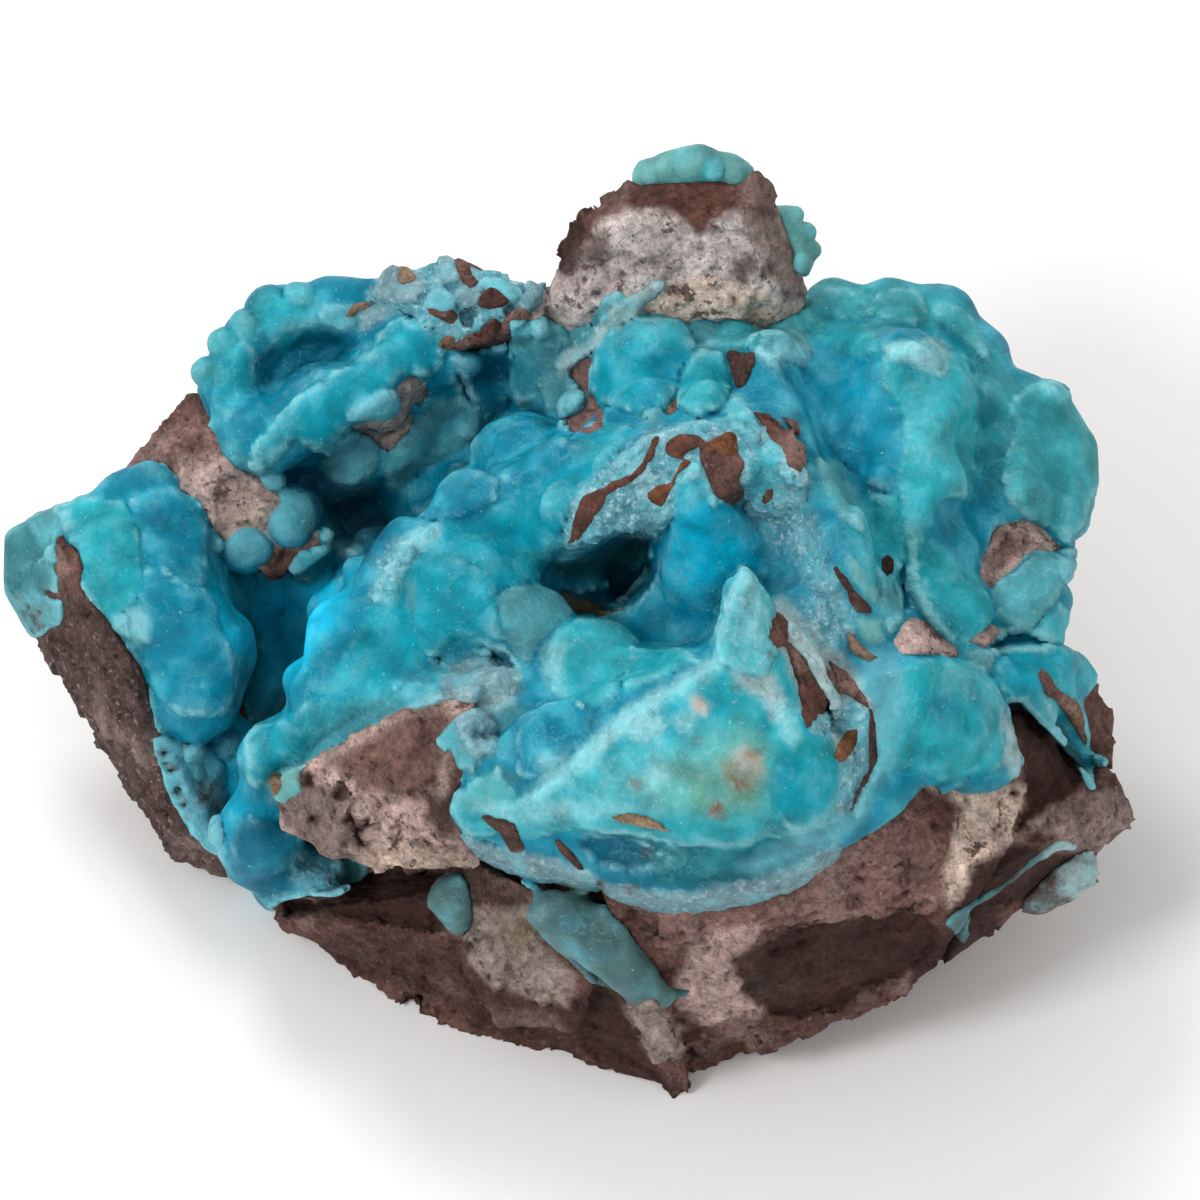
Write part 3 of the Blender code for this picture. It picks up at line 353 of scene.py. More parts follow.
# The face in layers, the later over the earlier. A line is a kind, two sizes in millimetres, a tint and an
# outline in pixels, which goes on in the lines that are set in. The kinds and their sizes are:
# S and R add smithsonite and rock: how far it stands out and how wide its shoulder is. Where R is below
# zero, the rock shows through the smithsonite, from that deep.
# V dents both and H cuts both away: how deep and how wide the slope is. Both paint their tint inside, and a
# navy, deep, sea, teal or blue one there is painted shade.
# P and Q only paint smithsonite and rock: a share instead of a size, and how soft the edge is.
# painted shade in blue on the dome's lower right, and painted light in pale along its top
# painted shade: blue along the bottom of the dome
# painted shade: maroon in the dark recess under the front left rock
# painted shade: maroon on the crown's left face
# the cave, cut and painted navy as painted shade
# the groove under the lip, dented, cut and painted navy, sea and deep as painted shade
LAYERS = """
# the bowl, upper left
P 1 1 blue 205,400 210,350 240,325 262,305 300,290 345,280 405,285 445,325 455,350 440,390 400,425 340,460
  262,480 235,460 215,430
V 2 2.4 deep 250,402 248,376 256,352 274,330 296,318 322,320 350,326 382,330 378,348 353,364 335,371 312,388
  288,408 266,414
P 0.8 1.2 blue 240,440 243,424 262,400 276,388 300,392 310,391 285,412 262,436 248,450
S 1.1 1.3 bright 250,468 252,448 266,432 282,412 310,391 333,375 353,366 374,346 376,334 389,323 406,317
  430,325 447,350 442,366 422,379 410,373 398,378 391,388 399,397 398,412 386,422 371,419 350,422 347,431
  337,441 330,456 316,453 299,439 277,458 262,476
P 0.6 0.8 teal 300,440 316,453 330,456 337,441 347,431 330,430 312,436
S 0.4 0.8 mist 347,424 360,408 380,394 391,390 399,397 399,410 386,422 371,420 356,422
S 0.35 0.5 foam 321,309 321,321 328,327 342,329 358,324 361,314 352,306 335,303
S 0.35 0.5 haze 359,318 363,328 371,329 385,318 406,310 408,304 398,300 381,303 369,310
R 0.28 0.4 tan 343,317 351,306 359,301 372,302 368,308 359,312 356,318
S 0.25 0.6 pale 240,341 242,333 251,325 262,324 264,332 251,339
S 0.35 1.8 bright 264,330 266,312 285,302 310,303 322,312 318,322 303,328 292,342 282,350 274,346
S 0.5 2.2 bright 214,400 214,372 226,350 244,340 256,346 258,362 254,382 248,396 238,415 228,425
P 0.7 0.5 pale 222,444 236,464 250,474 262,472 250,460 238,444
# rock and discs below the bowl
R -0.7 0.3 greypink 393,385 407,375 427,380 430,392 413,410 410,431 398,448 386,452 378,446 350,434 350,424
  396,412
S 0.5 0.7 foam 349,421 358,423 372,420 385,423 396,415 400,402 396,392 386,389 372,394 358,400 350,410
P 1 0.8 navy 282,462 320,462 345,485 400,480 420,500 400,520 372,560 345,545 300,535 280,500
S 0.81 1.6 foam 325,462 327,448 337,436 350,432 367,435 378,445 381,460 372,476 358,485 343,487 330,480
R 0.28 0.4 greypink 180,458 205,453 224,456 236,468 253,477 267,492 285,500 305,520 318,534 290,541 265,546
  258,582 250,560 228,540 213,528 196,500 180,490
Q 0.9 0.8 mauve 120,470 180,425 215,395 232,450 224,456 180,460 150,480
Q 0.5 0.8 cream 240,490 268,500 266,545 258,575 240,520
# the wing, left
P 0.8 2 bright 70,503 125,500 150,520 145,600 110,625 78,585 80,545
P 0.9 1.5 blue 128,500 175,487 208,520 206,580 235,700 205,715 150,690 140,600 143,545
S 0.54 1.5 blue 128,500 150,490 175,487 200,500 210,520 206,545 207,575 200,592 180,590 165,575 150,565
  143,545
S 0.81 2.1 blue 145,567 165,568 185,585 205,590 215,605 225,640 233,658 237,680 235,700 224,712 205,716
  180,712 165,700 150,680 143,655 140,635 148,612 140,595
S 0.54 1.2 turquoise 70,505 100,499 125,503 140,525 138,545 143,575 139,600 122,614 150,640 141,645 120,635
  105,618 88,600 78,585 84,565 78,550 66,535 60,520
P 0.7 0.6 ice 110,620 135,608 150,614 148,640 135,645
S 0.27 0.9 dusk 0,533 40,523 52,510 62,535 55,560 60,596 40,592 22,598 5,585
S 0.36 0.9 mist 42,515 58,506 72,512 78,530 62,533 56,548 60,566 50,562 40,545
S 0.27 0.8 mist 6,590 40,592 62,600 66,612 60,625 48,632 38,648 28,640 18,620
Q 1 0.5 plum 45,600 66,590 85,600 110,625 150,700 180,780 240,860 260,900 200,900 100,800 20,640 10,600
R 0.28 0.4 russet 56,540 62,533 70,545 80,552 85,570 80,585 70,592 60,585 58,560
S 0.36 0.8 foam 150,735 175,740 200,745 222,758 225,775 222,790 226,805 222,830 232,868 205,850 185,825
  170,800 158,765
S 0.45 0.9 foam 185,748 200,742 218,752 224,768 214,784 196,780 186,765
S 0.45 0.9 haze 196,786 214,782 226,792 222,806 208,812 196,804
S 0.45 0.9 foam 186,812 206,806 224,818 226,840 210,846 190,834
# the left basin and the ridge along it
P 1 1.2 azure 212,560 300,560 350,560 346,600 318,652 262,712 244,735 240,850 215,760 240,700 212,610
P 0.8 1 glow 250,590 300,585 335,590 325,630 290,670 258,700 248,660
P 0.8 1.2 blue 207,540 235,560 250,620 262,700 245,735 236,830 222,760 238,700 225,640
S 0.72 1.2 bright 287,568 300,550 330,543 352,545 360,553 345,560 325,570 312,583 296,582
P 0.8 0.5 ice 330,543 352,545 360,553 345,558
S 0.72 3 bright 250,738 262,725 285,718 300,710 320,690 340,665 350,640 362,622 372,608 376,590 382,568
  400,542 420,527 445,522 470,515 500,505 520,490 545,470 575,448 600,432 636,424 610,470 580,500 560,530
  540,580 500,590 470,620 440,650 400,690 330,730 300,760 262,775 248,765
S 0.36 1 pale 372,604 376,590 382,568 400,543 420,528 445,524 440,540 415,560 400,580 392,605
P 0.9 0.5 frost 380,560 400,541 428,527 440,532 415,556 398,580 385,600 374,602
P 0.8 0.3 ice 412,532 425,532 422,545 408,552 395,562
P 0.7 2 pale 262,770 300,745 350,715 400,690 450,668 480,665 470,690 400,715 330,745 290,765
S 0.45 1.5 bright 250,738 262,726 286,720 310,728 300,750 278,765 258,790 248,780
S 0.54 1.8 bright 412,562 430,555 462,560 492,575 500,590 497,612 505,640 485,632 465,638 447,650 430,655
  418,642 414,618
S 0.72 3 mist 497,597 512,588 532,588 557,592 572,603 574,613 556,625 545,636 536,650 528,665 518,656
  505,640
H 1.6 0.8 navy 480,642 498,648 512,655 520,668 510,672 492,664
H 1 0.5 navy 434,656 446,652 444,664 438,668
# the deep middle
P 0.9 2 blue 400,440 470,430 560,440 580,470 520,500 460,520 400,530 395,480
S 0.45 1.5 mist 384,470 388,455 400,440 415,425 440,395 470,395 484,420 470,440 440,458 415,470 400,487
  388,485
P 0.5 1 pale 392,470 400,452 430,440 440,450 410,470
S 0.72 2.1 blue 410,500 415,480 430,467 455,463 482,470 498,482 500,500 475,512 462,520 430,522 412,512
S 0.54 2.4 blue 470,440 500,425 540,420 566,440 570,462 545,475 520,490 500,480 480,468
# the jumble at the top
S 0.5 0.6 frost 365,300 380,280 405,270 440,262 480,270 520,285 548,292 530,316 490,326 450,350 430,330
  400,308
S 0.6 0.4 haze 371,296 378,284 392,276 409,272 424,280 432,290 420,300 400,304 380,303
R 0.2 0.3 tan 398,280 408,274 420,278 414,284 402,285
S 1 0.4 foam 424,306 428,292 440,286 452,292 458,304 450,318 436,322 428,316
S 0.8 0.3 haze 452,300 462,286 476,284 486,292 480,304 466,310
S 0.6 0.3 haze 442,286 443,266 456,262 460,278 454,288
S 0.6 0.3 foam 476,282 486,274 502,278 520,290 530,300 512,302 494,292 480,290
H 0.9 0.3 maroon 458,314 470,308 480,313 474,324 462,326
H 0.8 0.3 maroon 505,306 518,304 512,314 500,318
R 0.4 0.3 brown 456,262 468,261 472,273 479,281 472,290 462,284
R 0.7 0.4 umber 476,308 482,294 492,288 504,294 510,302 500,309 486,311
R 0.3 0.3 brown 440,311 455,310 461,319 452,326 436,318
R 0.3 0.3 russet 424,306 438,309 438,316 428,314
R 0.6 0.4 tan 436,344 447,336 458,338 456,348 447,351
R 0.6 0.4 mauve 454,348 462,338 472,333 480,338 472,348 463,352
R 0.7 0.4 russet 476,338 484,326 494,318 502,324 496,336 486,343
R 0.7 0.4 mauve 500,330 508,314 520,307 531,312 526,324 512,332
S 0.6 0.3 haze 522,300 532,290 546,292 548,304 534,312
S 0.6 0.3 haze 535,290 537,266 546,244 559,240 562,258 556,280 547,292
S 0.63 1.8 deep 449,356 479,351 506,340 519,354 511,372 511,407 500,412 484,421 474,402 460,378
H 0.8 0.6 navy 453,368 462,374 470,392 476,404 466,402 456,384
S 0.72 2.1 mist 511,321 554,319 581,311 594,321 591,335 570,348 559,362 540,386 538,399 519,407 508,391
  511,364
P 0.8 1 blue 508,345 530,350 545,370 538,400 519,410 508,395
R -0.5 0.3 mauve 566,362 592,352 594,392 603,412 604,430 590,437 572,432 562,420 575,402 568,380
S 0.9 1.8 mist 540,384 551,368 567,373 581,383 587,398 583,410 562,417 549,408
S 0.72 1.8 mist 595,312 603,296 618,291 629,300 627,313 612,326 598,326
S 0.5 0.4 chalk 654,279 668,281 661,292 645,306 607,340 574,368 562,376 556,366 568,348 605,316 634,293
P 0.5 0.4 lichen 600,325 640,292 650,296 612,335
# the crown
Q 1 0.4 ash 530,330 545,300 575,250 600,225 650,205 700,205 740,215 800,260 812,300 790,340 700,330 640,310
Q 0.95 0.3 umber 600,205 640,185 690,170 740,170 785,180 780,215 765,225 752,215 735,208 715,222 700,240
  690,225 672,212 650,210 630,212
Q 0.95 0.3 taupe 742,208 765,220 785,200 800,262 815,300 790,300 770,275 752,240
Q 0.8 0.3 russet 672,205 700,195 730,200 728,218 712,228 700,240 690,228
Q 0.9 0.3 maroon 550,268 565,228 582,222 588,245 582,262 570,280 556,285
Q 0.8 0.3 umber 584,235 606,232 612,250 602,272 590,262
Q 1 0.4 ivory 640,300 690,280 740,280 800,312 800,340 730,340 690,326 650,316
Q 0.8 0.2 umber 728,262 742,255 752,250 760,268 748,285 736,278
Q 0.8 0.2 umber 757,270 770,262 780,268 772,280
Q 0.6 0.3 russet 655,290 680,284 690,290 670,300
Q 0.8 0.3 mauve 535,310 560,285 585,280 592,300 560,325 540,325
R 0.6 2.6 ash 532,330 540,305 552,286 570,282 590,300 596,322 570,332 545,334
P 1 0.5 lichen 615,200 625,150 700,135 770,150 790,195 830,200 835,290 790,290 770,215 760,200
R 0.5 1.2 russet 598,204 612,194 640,184 690,182 740,182 768,178 783,184 784,204 768,196 740,200 700,206
  660,200 630,204
Q 0.9 0.3 umber 598,204 612,194 640,184 668,183 662,196 640,204
Q 0.9 0.3 umber 730,182 768,178 783,184 784,204 768,196 740,200
S 1 2 mist 528,322 545,318 560,324 572,340 560,352 535,345
# domes under the crown
S 1.8 5.1 bright 589,372 597,346 613,329 634,321 672,316 691,327 696,348 680,372 677,391 669,407 650,414
  624,410 602,404 591,391
P 0.7 1.2 blue 650,370 690,345 692,370 675,395 655,412 640,405
P 0.5 1 pale 610,335 640,322 672,318 668,330 630,340 605,352
S 1.62 3.9 turquoise 677,391 688,356 701,348 723,354 731,372 731,391 717,412 696,418 677,407
S 0.36 0.9 turquoise 704,348 707,335 741,332 766,335 752,350 728,352
R 0.28 0.4 umber 725,351 755,351 757,364 741,391 734,386 728,364
S 0.72 0.9 ice 752,350 762,338 776,332 798,332 811,351 806,367 790,364 782,362 776,376 768,366
S 0.54 1.2 pale 725,415 731,396 744,396 752,418 766,431 757,445 736,434
R 0.28 0.4 tan 664,413 672,399 677,401 677,412 668,417
# the arch of frosted crust and broken shards
S 0.81 1.2 frost 563,549 572,508 584,488 612,462 645,434 672,425 706,424 742,424 768,424 790,445 806,470
  808,500 782,516 750,515 738,500 712,508 700,480 684,486 672,520 656,538 634,541 612,532 592,546
P 0.6 0.5 pale 590,500 640,450 660,440 640,470 600,492
P 0.6 0.4 ice 640,505 660,498 668,515 655,535 640,530
P 0.6 0.5 bright 712,425 745,424 765,432 750,442 735,432
P 0.7 0.6 turquoise 745,470 765,450 780,470 785,500 770,512 752,505
S 0.45 1.8 sea 553,560 560,550 590,556 605,548 618,541 640,541 641,560 620,575 595,583 575,580 560,577
P 0.6 0.5 mist 556,556 575,552 600,556 580,562 562,568
R 0.28 0.4 russet 564,547 571,533 581,496 599,488 630,475 642,463 651,439 660,435 655,457 642,473 630,484
  607,496 601,510 587,531 579,541
R 0.28 0.4 russet 664,453 667,441 679,433 701,435 705,441 695,451 681,459 671,459
R 0.28 0.4 brown 701,445 714,440 732,436 738,445 742,461 745,465 740,482 746,492 742,500 730,508 716,500
  709,488 703,467 699,459
R 0.28 0.4 rust 709,439 732,431 739,435 736,453 724,453 713,447
R 0.28 0.4 rust 646,494 658,486 671,482 681,461 693,457 689,465 677,478 673,492 662,507 650,504
R 0.28 0.4 russet 752,411 764,416 779,427 793,441 805,449 806,463 801,476 789,465 781,450 769,437 762,424
R 0.28 0.4 mauve 783,418 797,420 802,437 793,433
R 0.28 0.4 russet 759,500 767,488 776,487 774,497 764,507
R 0.28 0.4 olive 802,488 807,490 809,504 803,506
# the spike and the blue dome below it, with a cave beside them
H 0.8 1.2 navy 557,589 575,592 600,588 630,572 650,560 657,545 659,572 648,590 635,605 600,617 575,612
R 0.28 0.4 olive 558,590 575,596 600,604 630,606 604,618 575,613
S 0.81 3.9 azure 697,461 683,475 675,490 671,530 662,550 660,575 668,605 700,618 740,612 764,590 768,560
  755,530 738,512 714,495 703,470
P 0.6 0.8 pale 697,461 683,475 677,495 682,510 700,500 716,498 703,470
P 0.6 1.5 blue 662,575 700,605 750,600 765,580 755,610 700,625 665,610
P 0.8 1.2 frost 745,505 765,495 790,485 805,490 815,520 830,560 845,600 852,632 838,645 812,636 790,605
  775,585 768,555 757,530
P 0.8 1 blue 765,540 800,560 815,600 800,615 780,600 768,580
P 0.8 2 blue 575,625 640,600 700,615 740,612 725,640 700,660 640,690 630,640
S 1.08 3.9 turquoise 545,668 548,648 560,630 580,622 605,618 626,624 638,640 634,660 628,680 615,700 590,710
  565,702 550,690
P 0.8 0.8 ice 545,668 548,650 558,636 566,650 562,680 568,700 552,690
S 0.72 2.2 turquoise 630,645 660,640 690,650 700,662 670,676 640,690 622,690
# grey lumps over the front left block
S 0.54 1.8 haze 450,668 470,656 500,658 520,672 522,692 505,702 480,705 455,700 440,685
S 0.45 0.9 mist 434,739 451,721 475,706 516,698 527,715 513,730 489,733 472,730 475,745 483,756 475,774
  457,768 451,750 445,753 437,747
S 0.7 0.8 haze 456,716 486,712 500,728 494,752 478,758 464,748 456,734
P 0.6 0.6 chalk 395,720 430,695 480,690 520,700 500,712 460,716 430,735
# the front mass
S 0.8 1.4 turquoise 449,813 455,795 475,778 500,765 520,798 545,785 575,755 600,735 625,712 660,692 690,675
  712,655 716,625 728,592 742,569 756,584 770,605 785,640 800,700 822,728 850,740 858,765 850,800 838,820
  800,832 740,846 680,845 640,836 590,828 520,838 465,835
S 0.9 2.6 blue 516,777 517,745 522,718 545,701 577,700 598,712 590,732 577,750 551,768 533,780
P 0.5 1.2 bright 660,690 690,682 717,690 730,715 717,738 690,745 665,738 650,715
P 0.9 0.6 ice 520,802 545,778 575,750 610,722 660,690 690,672 715,655 735,660 700,684 670,700 650,722
  615,742 590,770 560,785 540,800
P 0.9 0.4 ice 625,722 640,714 660,716 668,730 655,744 636,742
P 0.8 0.4 ice 539,758 552,753 566,762 562,776 545,778
P 0.9 0.4 chalk 731,655 748,653 756,668 770,676 786,700 788,722 775,722 762,700 745,688 735,678
P 0.8 0.3 cream 691,700 702,697 711,704 708,714 696,714
P 0.65 1 pale 560,800 600,765 640,745 690,735 720,760 700,800 640,820 600,815
P 0.6 1.6 moss 640,785 660,760 690,752 715,730 745,722 766,740 768,790 760,812 725,818 690,815 655,808
P 0.6 0.5 moss 690,800 700,775 725,765 745,745 762,760 758,800 730,812
P 0.7 0.4 ice 640,775 655,762 672,766 668,782 650,790
P 0.7 0.4 ice 672,720 690,708 702,716 694,730 680,734
P 0.7 0.4 ice 775,700 790,705 800,730 792,750 780,735
P 0.9 0.4 cream 735,754 748,750 761,758 758,770 742,772
P 0.6 0.6 tan 722,770 735,745 760,748 768,770 750,790 732,792
P 0.9 0.3 rust 734,778 742,774 747,782 742,791 735,788
P 0.9 0.3 rust 708,818 712,802 720,795 724,806 718,820
P 0.6 0.4 tan 624,788 632,780 642,782 638,790
S 0.5 2.4 bright 774,765 790,755 812,758 828,772 834,800 826,826 806,836 788,830 776,812 770,790
P 0.6 0.6 ice 470,800 520,800 560,800 600,800 640,806 600,818 540,822 490,822
P 0.5 0.5 lichen 452,812 462,792 500,768 516,775 510,795 480,812
V 1.2 1.2 navy 575,842 590,830 620,828 650,838 677,852 668,868 630,870 595,864
V 0.8 1.2 sea 735,852 748,836 770,824 795,820 806,834 798,852 770,862 745,862
H 0.5 0.3 navy 645,836 660,838 677,849 673,854 655,848
P 0.9 0.8 deep 540,850 590,862 640,872 700,872 760,866 830,846 820,866 740,884 660,886 590,878
P 0.9 0.8 sea 630,834 700,842 760,844 830,832 834,858 740,882 660,882
P 0.8 1 foam 835,730 870,715 880,760 862,812 820,850 760,872 735,864 800,830 830,800 845,765
R 0.28 0.4 tan 602,814 642,813 680,834 648,828 614,820
S 0.3 0.7 haze 600,880 650,890 700,890 750,880 800,862 836,838 842,858 800,888 750,906 700,913 650,912
  610,898
S 0.4 0.9 haze 455,832 500,845 545,856 590,868 602,884 560,885 520,872 490,866 470,850
R 0.28 0.4 umber 480,814 500,816 516,824 528,852 512,850 495,832
R 0.28 0.4 umber 553,838 562,840 580,862 590,876 578,870 562,855
# the second spike, and the broken strip right of it
P 0.9 0.8 pale 742,569 730,588 718,625 714,660 735,668 762,672 775,640 768,605 756,584
V 0.5 1 blue 708,596 718,572 730,560 739,564 733,578 724,596 716,612
V 0.5 1 blue 746,566 758,564 770,580 774,598 764,594 755,580
S 0.9 1 pale 742,563 750,580 760,598 772,622 776,650 764,676 738,672 718,662 716,634 722,606 733,582
P 0.7 0.4 ice 742,569 736,585 738,610 750,640 756,660 764,640 758,610 752,585
P 0.9 0.6 chalk 770,604 782,600 830,640 868,690 878,712 874,760 852,812 838,812 842,760 820,722 800,700
  785,665
S 0.4 1.2 frost 790,700 815,735 838,728 846,750 838,790 842,815 852,790 872,756 872,712 850,700 830,705
  815,720
R 0.28 0.4 russet 778,609 783,614 801,641 815,657 818,672 803,674 791,657 783,644 776,651 768,637 770,620
R 0.28 0.4 russet 799,673 810,681 820,700 817,720 806,730 799,712
R 0.28 0.4 russet 815,672 828,680 838,695 834,706 822,698 816,686
S 0.5 0.3 chalk 786,618 796,624 816,650 832,684 846,712 838,716 822,690 806,662 790,640
R 0.28 0.4 mauve 828,660 847,670 868,698 871,711 852,699 838,690
R 0.28 0.4 rust 836,746 846,730 860,727 858,746 843,764 834,759
R 0.28 0.3 umber 868,704 874,711 878,760 868,787 856,814 849,810 860,784 869,760
# the strip between the dome and the right lobe
R 0.28 0.4 umber 827,553 847,578 859,593 874,610 872,616 854,611 844,590 832,566
S 0.36 0.8 lichen 847,555 859,565 877,593 880,607 862,594 852,580
S 0.54 1.8 mist 815,459 837,466 852,488 862,511 859,533 844,523 829,503 817,483
S 0.54 1.2 mist 874,570 894,575 903,600 901,622 889,634 879,612
S 0.45 0.8 lichen 854,622 867,615 879,620 884,642 867,644
P 0.8 0.5 frost 822,605 848,602 855,625 840,645 820,640
R 0.28 0.4 tan 844,627 859,642 879,657 870,664 850,650
R 0.28 0.4 greypink 893,640 902,620 915,616 934,625 958,646 960,658 925,655 899,655
# the right lobe
P 0.35 2 azure 790,350 850,340 880,360 900,430 895,490 850,470 810,420 785,385
S 0.45 1.8 turquoise 805,330 822,321 842,318 867,323 879,334 877,352 859,362 842,352 817,342
P 0.7 1.5 teal 960,380 1000,390 1010,420 1015,450 990,450 975,430
P 0.9 1 aqua 790,345 800,300 830,280 900,275 960,300 1000,360 1020,380 1060,370 1100,430 1110,520 1080,560
  1040,520 1000,500 985,440 980,370 960,335 900,325 840,322
P 0.7 1 teal 795,340 830,318 890,322 960,332 975,350 985,380 1000,400 1005,450 990,500 978,480 980,400
  972,360 940,338 880,332 830,335
S 1 2.4 aqua 1012,398 1030,384 1048,382 1066,396 1075,420 1088,440 1092,465 1090,500 1080,525 1066,545
  1050,528 1030,518 1008,500 1000,480 1004,450 1016,430 1008,412
S 0.7 2 aqua 806,322 812,300 830,288 852,290 866,300 872,316 858,322 830,318
S 0.7 2 aqua 866,314 874,296 892,288 912,290 926,302 930,318 915,326 890,322
S 0.7 2 aqua 928,316 936,304 954,306 972,322 984,342 990,362 980,360 962,340 944,328
S 0.4 1.2 pale 1040,384 1056,384 1068,398 1060,404 1046,396
V 0.9 1.3 deep 822,438 840,448 862,476 896,492 894,502 862,494 840,472 826,452
S 0.81 2.4 turquoise 885,343 914,342 934,340 966,352 971,369 972,394 977,429 974,459 973,483 966,499 955,498
  940,500 925,530 920,560 928,592 962,645 945,640 920,612 908,590 908,550 904,530 899,500 898,470 905,430
  898,405 882,390 880,372
V 0.7 0.9 teal 972,376 984,380 986,430 980,470 975,466 979,430 974,395
P 0.6 1 pale 905,380 930,385 940,420 935,470 915,470 905,430
S 0.45 0.8 ice 885,343 916,342 921,347 939,359 944,379 934,377 911,363 891,362 885,354
P 0.7 0.5 chalk 924,344 934,339 944,347 950,360 935,356
S 0.36 1.8 turquoise 847,528 849,508 867,498 896,493 901,506 909,523 909,563 899,575 884,593 872,585 857,563
R 0.28 0.3 maroon 880,557 888,553 896,560 895,572 888,578 881,570
H 1 0.8 deep 897,572 905,560 909,590 911,612 903,610
S 0.54 2.1 turquoise 978,575 993,592 993,617 981,637 966,648 949,627 929,600 919,580 914,550 930,540
S 0.36 0.8 pale 909,520 915,545 921,588 934,612 960,644 952,646 929,622 911,595 909,560
R -0.4 0.4 greypink 1008,523 1023,518 1040,525 1058,545 1058,560 1040,560 1015,580 990,590 978,578 983,558
  996,540
Q 0.7 0.4 mauve 1000,535 1020,530 1030,545 1005,565 990,578 984,560
S 0.54 0.8 mist 1056,550 1070,547 1077,562 1071,578 1060,584
R 0.28 0.4 brown 1058,562 1066,558 1072,570 1064,575
S 0.72 1 mist 993,592 998,578 1016,568 1025,555 1038,548 1055,553 1061,568 1060,585 1055,602 1033,627
  1016,628 998,617
P 0.6 0.8 pale 1000,590 1030,570 1050,565 1050,595 1025,610 1005,610
S 0.45 0.9 turquoise 1036,625 1058,600 1060,640 1040,645
R 0.28 0.4 greypink 968,641 990,623 1004,630 985,652
H 1.5 0.6 navy 984,651 1003,632 1020,628 1055,642 1040,650 1005,650
# crust and rock of the lower right
S 0.54 1.2 bright 989,668 1010,648 1033,643 1061,650 1085,662 1084,701 1090,742 1097,793 1086,788 1071,757
  1050,734 1022,706 999,691
P 0.7 0.4 ice 1035,690 1046,700 1075,745 1090,780 1080,775 1055,735
S 0.63 2.7 turquoise 895,683 900,666 923,660 946,658 974,663 997,683 999,706 997,717 1004,734 1002,755
  997,765 966,773 938,779 908,768 885,772 872,790 862,815 850,818 862,790 878,762 885,747 892,717
P 0.8 0.8 blue 923,699 945,695 955,710 940,724 925,715
P 0.6 0.6 pale 940,662 980,670 996,690 990,710 965,700 945,680
P 0.8 0.8 foam 858,650 900,650 908,700 896,760 872,800 850,830 842,815 866,760 872,710
S 0.45 0.8 chalk 999,712 1010,729 1022,760 1020,778 1010,775 1002,760 1004,742
S 0.54 1.5 mist 965,655 978,646 990,652 992,668 982,674 968,668
R 0.28 0.4 russet 927,747 936,746 936,757 929,759
R 0.28 0.4 russet 959,706 970,717 969,732 965,729 966,718
R 0.28 0.4 umber 974,706 989,727 986,728
R 0.28 0.4 brown 1035,669 1043,668 1061,691 1081,704 1086,747 1073,729 1058,706 1045,694
Q 0.8 0.3 tan 1062,700 1080,706 1085,740 1072,722
R 0.28 0.4 brown 1078,662 1094,678 1107,701 1111,742 1109,757 1094,747 1087,704
S 0.45 0.9 turquoise 1091,750 1109,757 1109,770 1091,762
H 1.2 1 maroon 1004,702 1022,702 1050,734 1071,757 1084,783 1061,798 1035,819 1012,836 1017,813 1025,803
  1022,757 1012,732
Q 1 0.2 taupe 1078,791 1101,793 1112,783 1137,819 1135,829 1096,854 1073,849 1050,831 1035,831 1017,842
  1035,819 1061,801
Q 0.9 0.5 mauve 640,915 780,905 840,860 880,800 915,790 946,857 948,908 900,912 800,920 740,940 660,950
Q 1 0.2 ivory 915,775 959,773 999,773 1007,783 1022,788 1025,803 1017,816 1012,839 997,852 974,864 964,890
  948,908 943,877 946,857 953,834 959,808 943,793 918,793
Q 0.8 0.4 russet 918,793 943,791 961,806 953,824 923,816
Q 0.8 0.5 greypink 700,935 760,925 760,1010 700,1030 670,1000
H 0.8 0.5 maroon 735,960 780,931 811,923 857,915 900,910 933,918 943,928 938,943 923,961 902,977 864,992
  844,1010 806,1017 770,1015 740,990
Q 1 0.2 maroon 964,890 974,866 1012,842 1060,852 1090,865 1060,895 1000,905 950,960 925,990 905,980 943,930
S 0.18 0.4 slate 943,923 964,905 999,885 1025,864 1056,839 1078,842 1076,852 1056,852 1025,872 1002,890
  969,910 971,933 964,946 953,933
P 1 0.2 slate 936,925 958,898 995,876 1020,856 1056,830 1086,838 1080,856 1056,860 1028,880 1004,898 976,916
  976,938 962,954 945,940
P 1 0.3 chalk 1040,862 1060,835 1115,840 1115,900 1080,930 1025,920 1015,890
P 1 0.2 umber 1010,875 1040,866 1056,872 1058,892 1084,902 1070,935 1010,930
# crust and rock of the lower left
Q 1 0.5 greypink 302,768 322,750 357,736 398,715 445,701 478,690 472,706 445,724 451,747 448,797 466,844
  489,868 369,868 328,856 278,827 278,812
Q 0.9 0.6 dun 278,812 300,775 330,790 350,830 370,868 328,860
Q 0.8 0.8 russet 330,760 400,722 450,706 448,760 430,800 400,800 360,790 340,775
Q 0.9 0.5 maroon 428,795 448,792 457,827 462,840 440,838 424,820
Q 0.6 0.4 cream 350,845 400,840 470,858 470,868 380,868
S 0.27 0.8 lichen 263,780 284,768 299,765 316,756 302,774 302,791 284,806 272,797
R 0.28 0.4 tan 270,776 280,770 284,782 280,796 272,792
S 0.36 1.2 deep 240,821 252,815 278,827 302,833 328,856 366,856 369,880 357,891 337,897 299,897 281,896
  276,921 258,903 240,885
P 0.6 0.5 frost 290,850 330,862 350,885 310,893 290,880
S 0.36 0.9 mist 331,856 363,859 369,868 351,880 334,874
H 1.5 1 maroon 281,900 337,899 369,874 428,868 442,874 428,903 457,932 404,926 340,918 284,918
S 0.3 0.8 slate 428,903 431,885 445,871 463,871 469,885 469,915 460,935 445,923
Q 1 0.3 umber 278,925 404,930 460,940 500,990 570,1005 640,1070 690,1090 560,1050 430,990 320,950
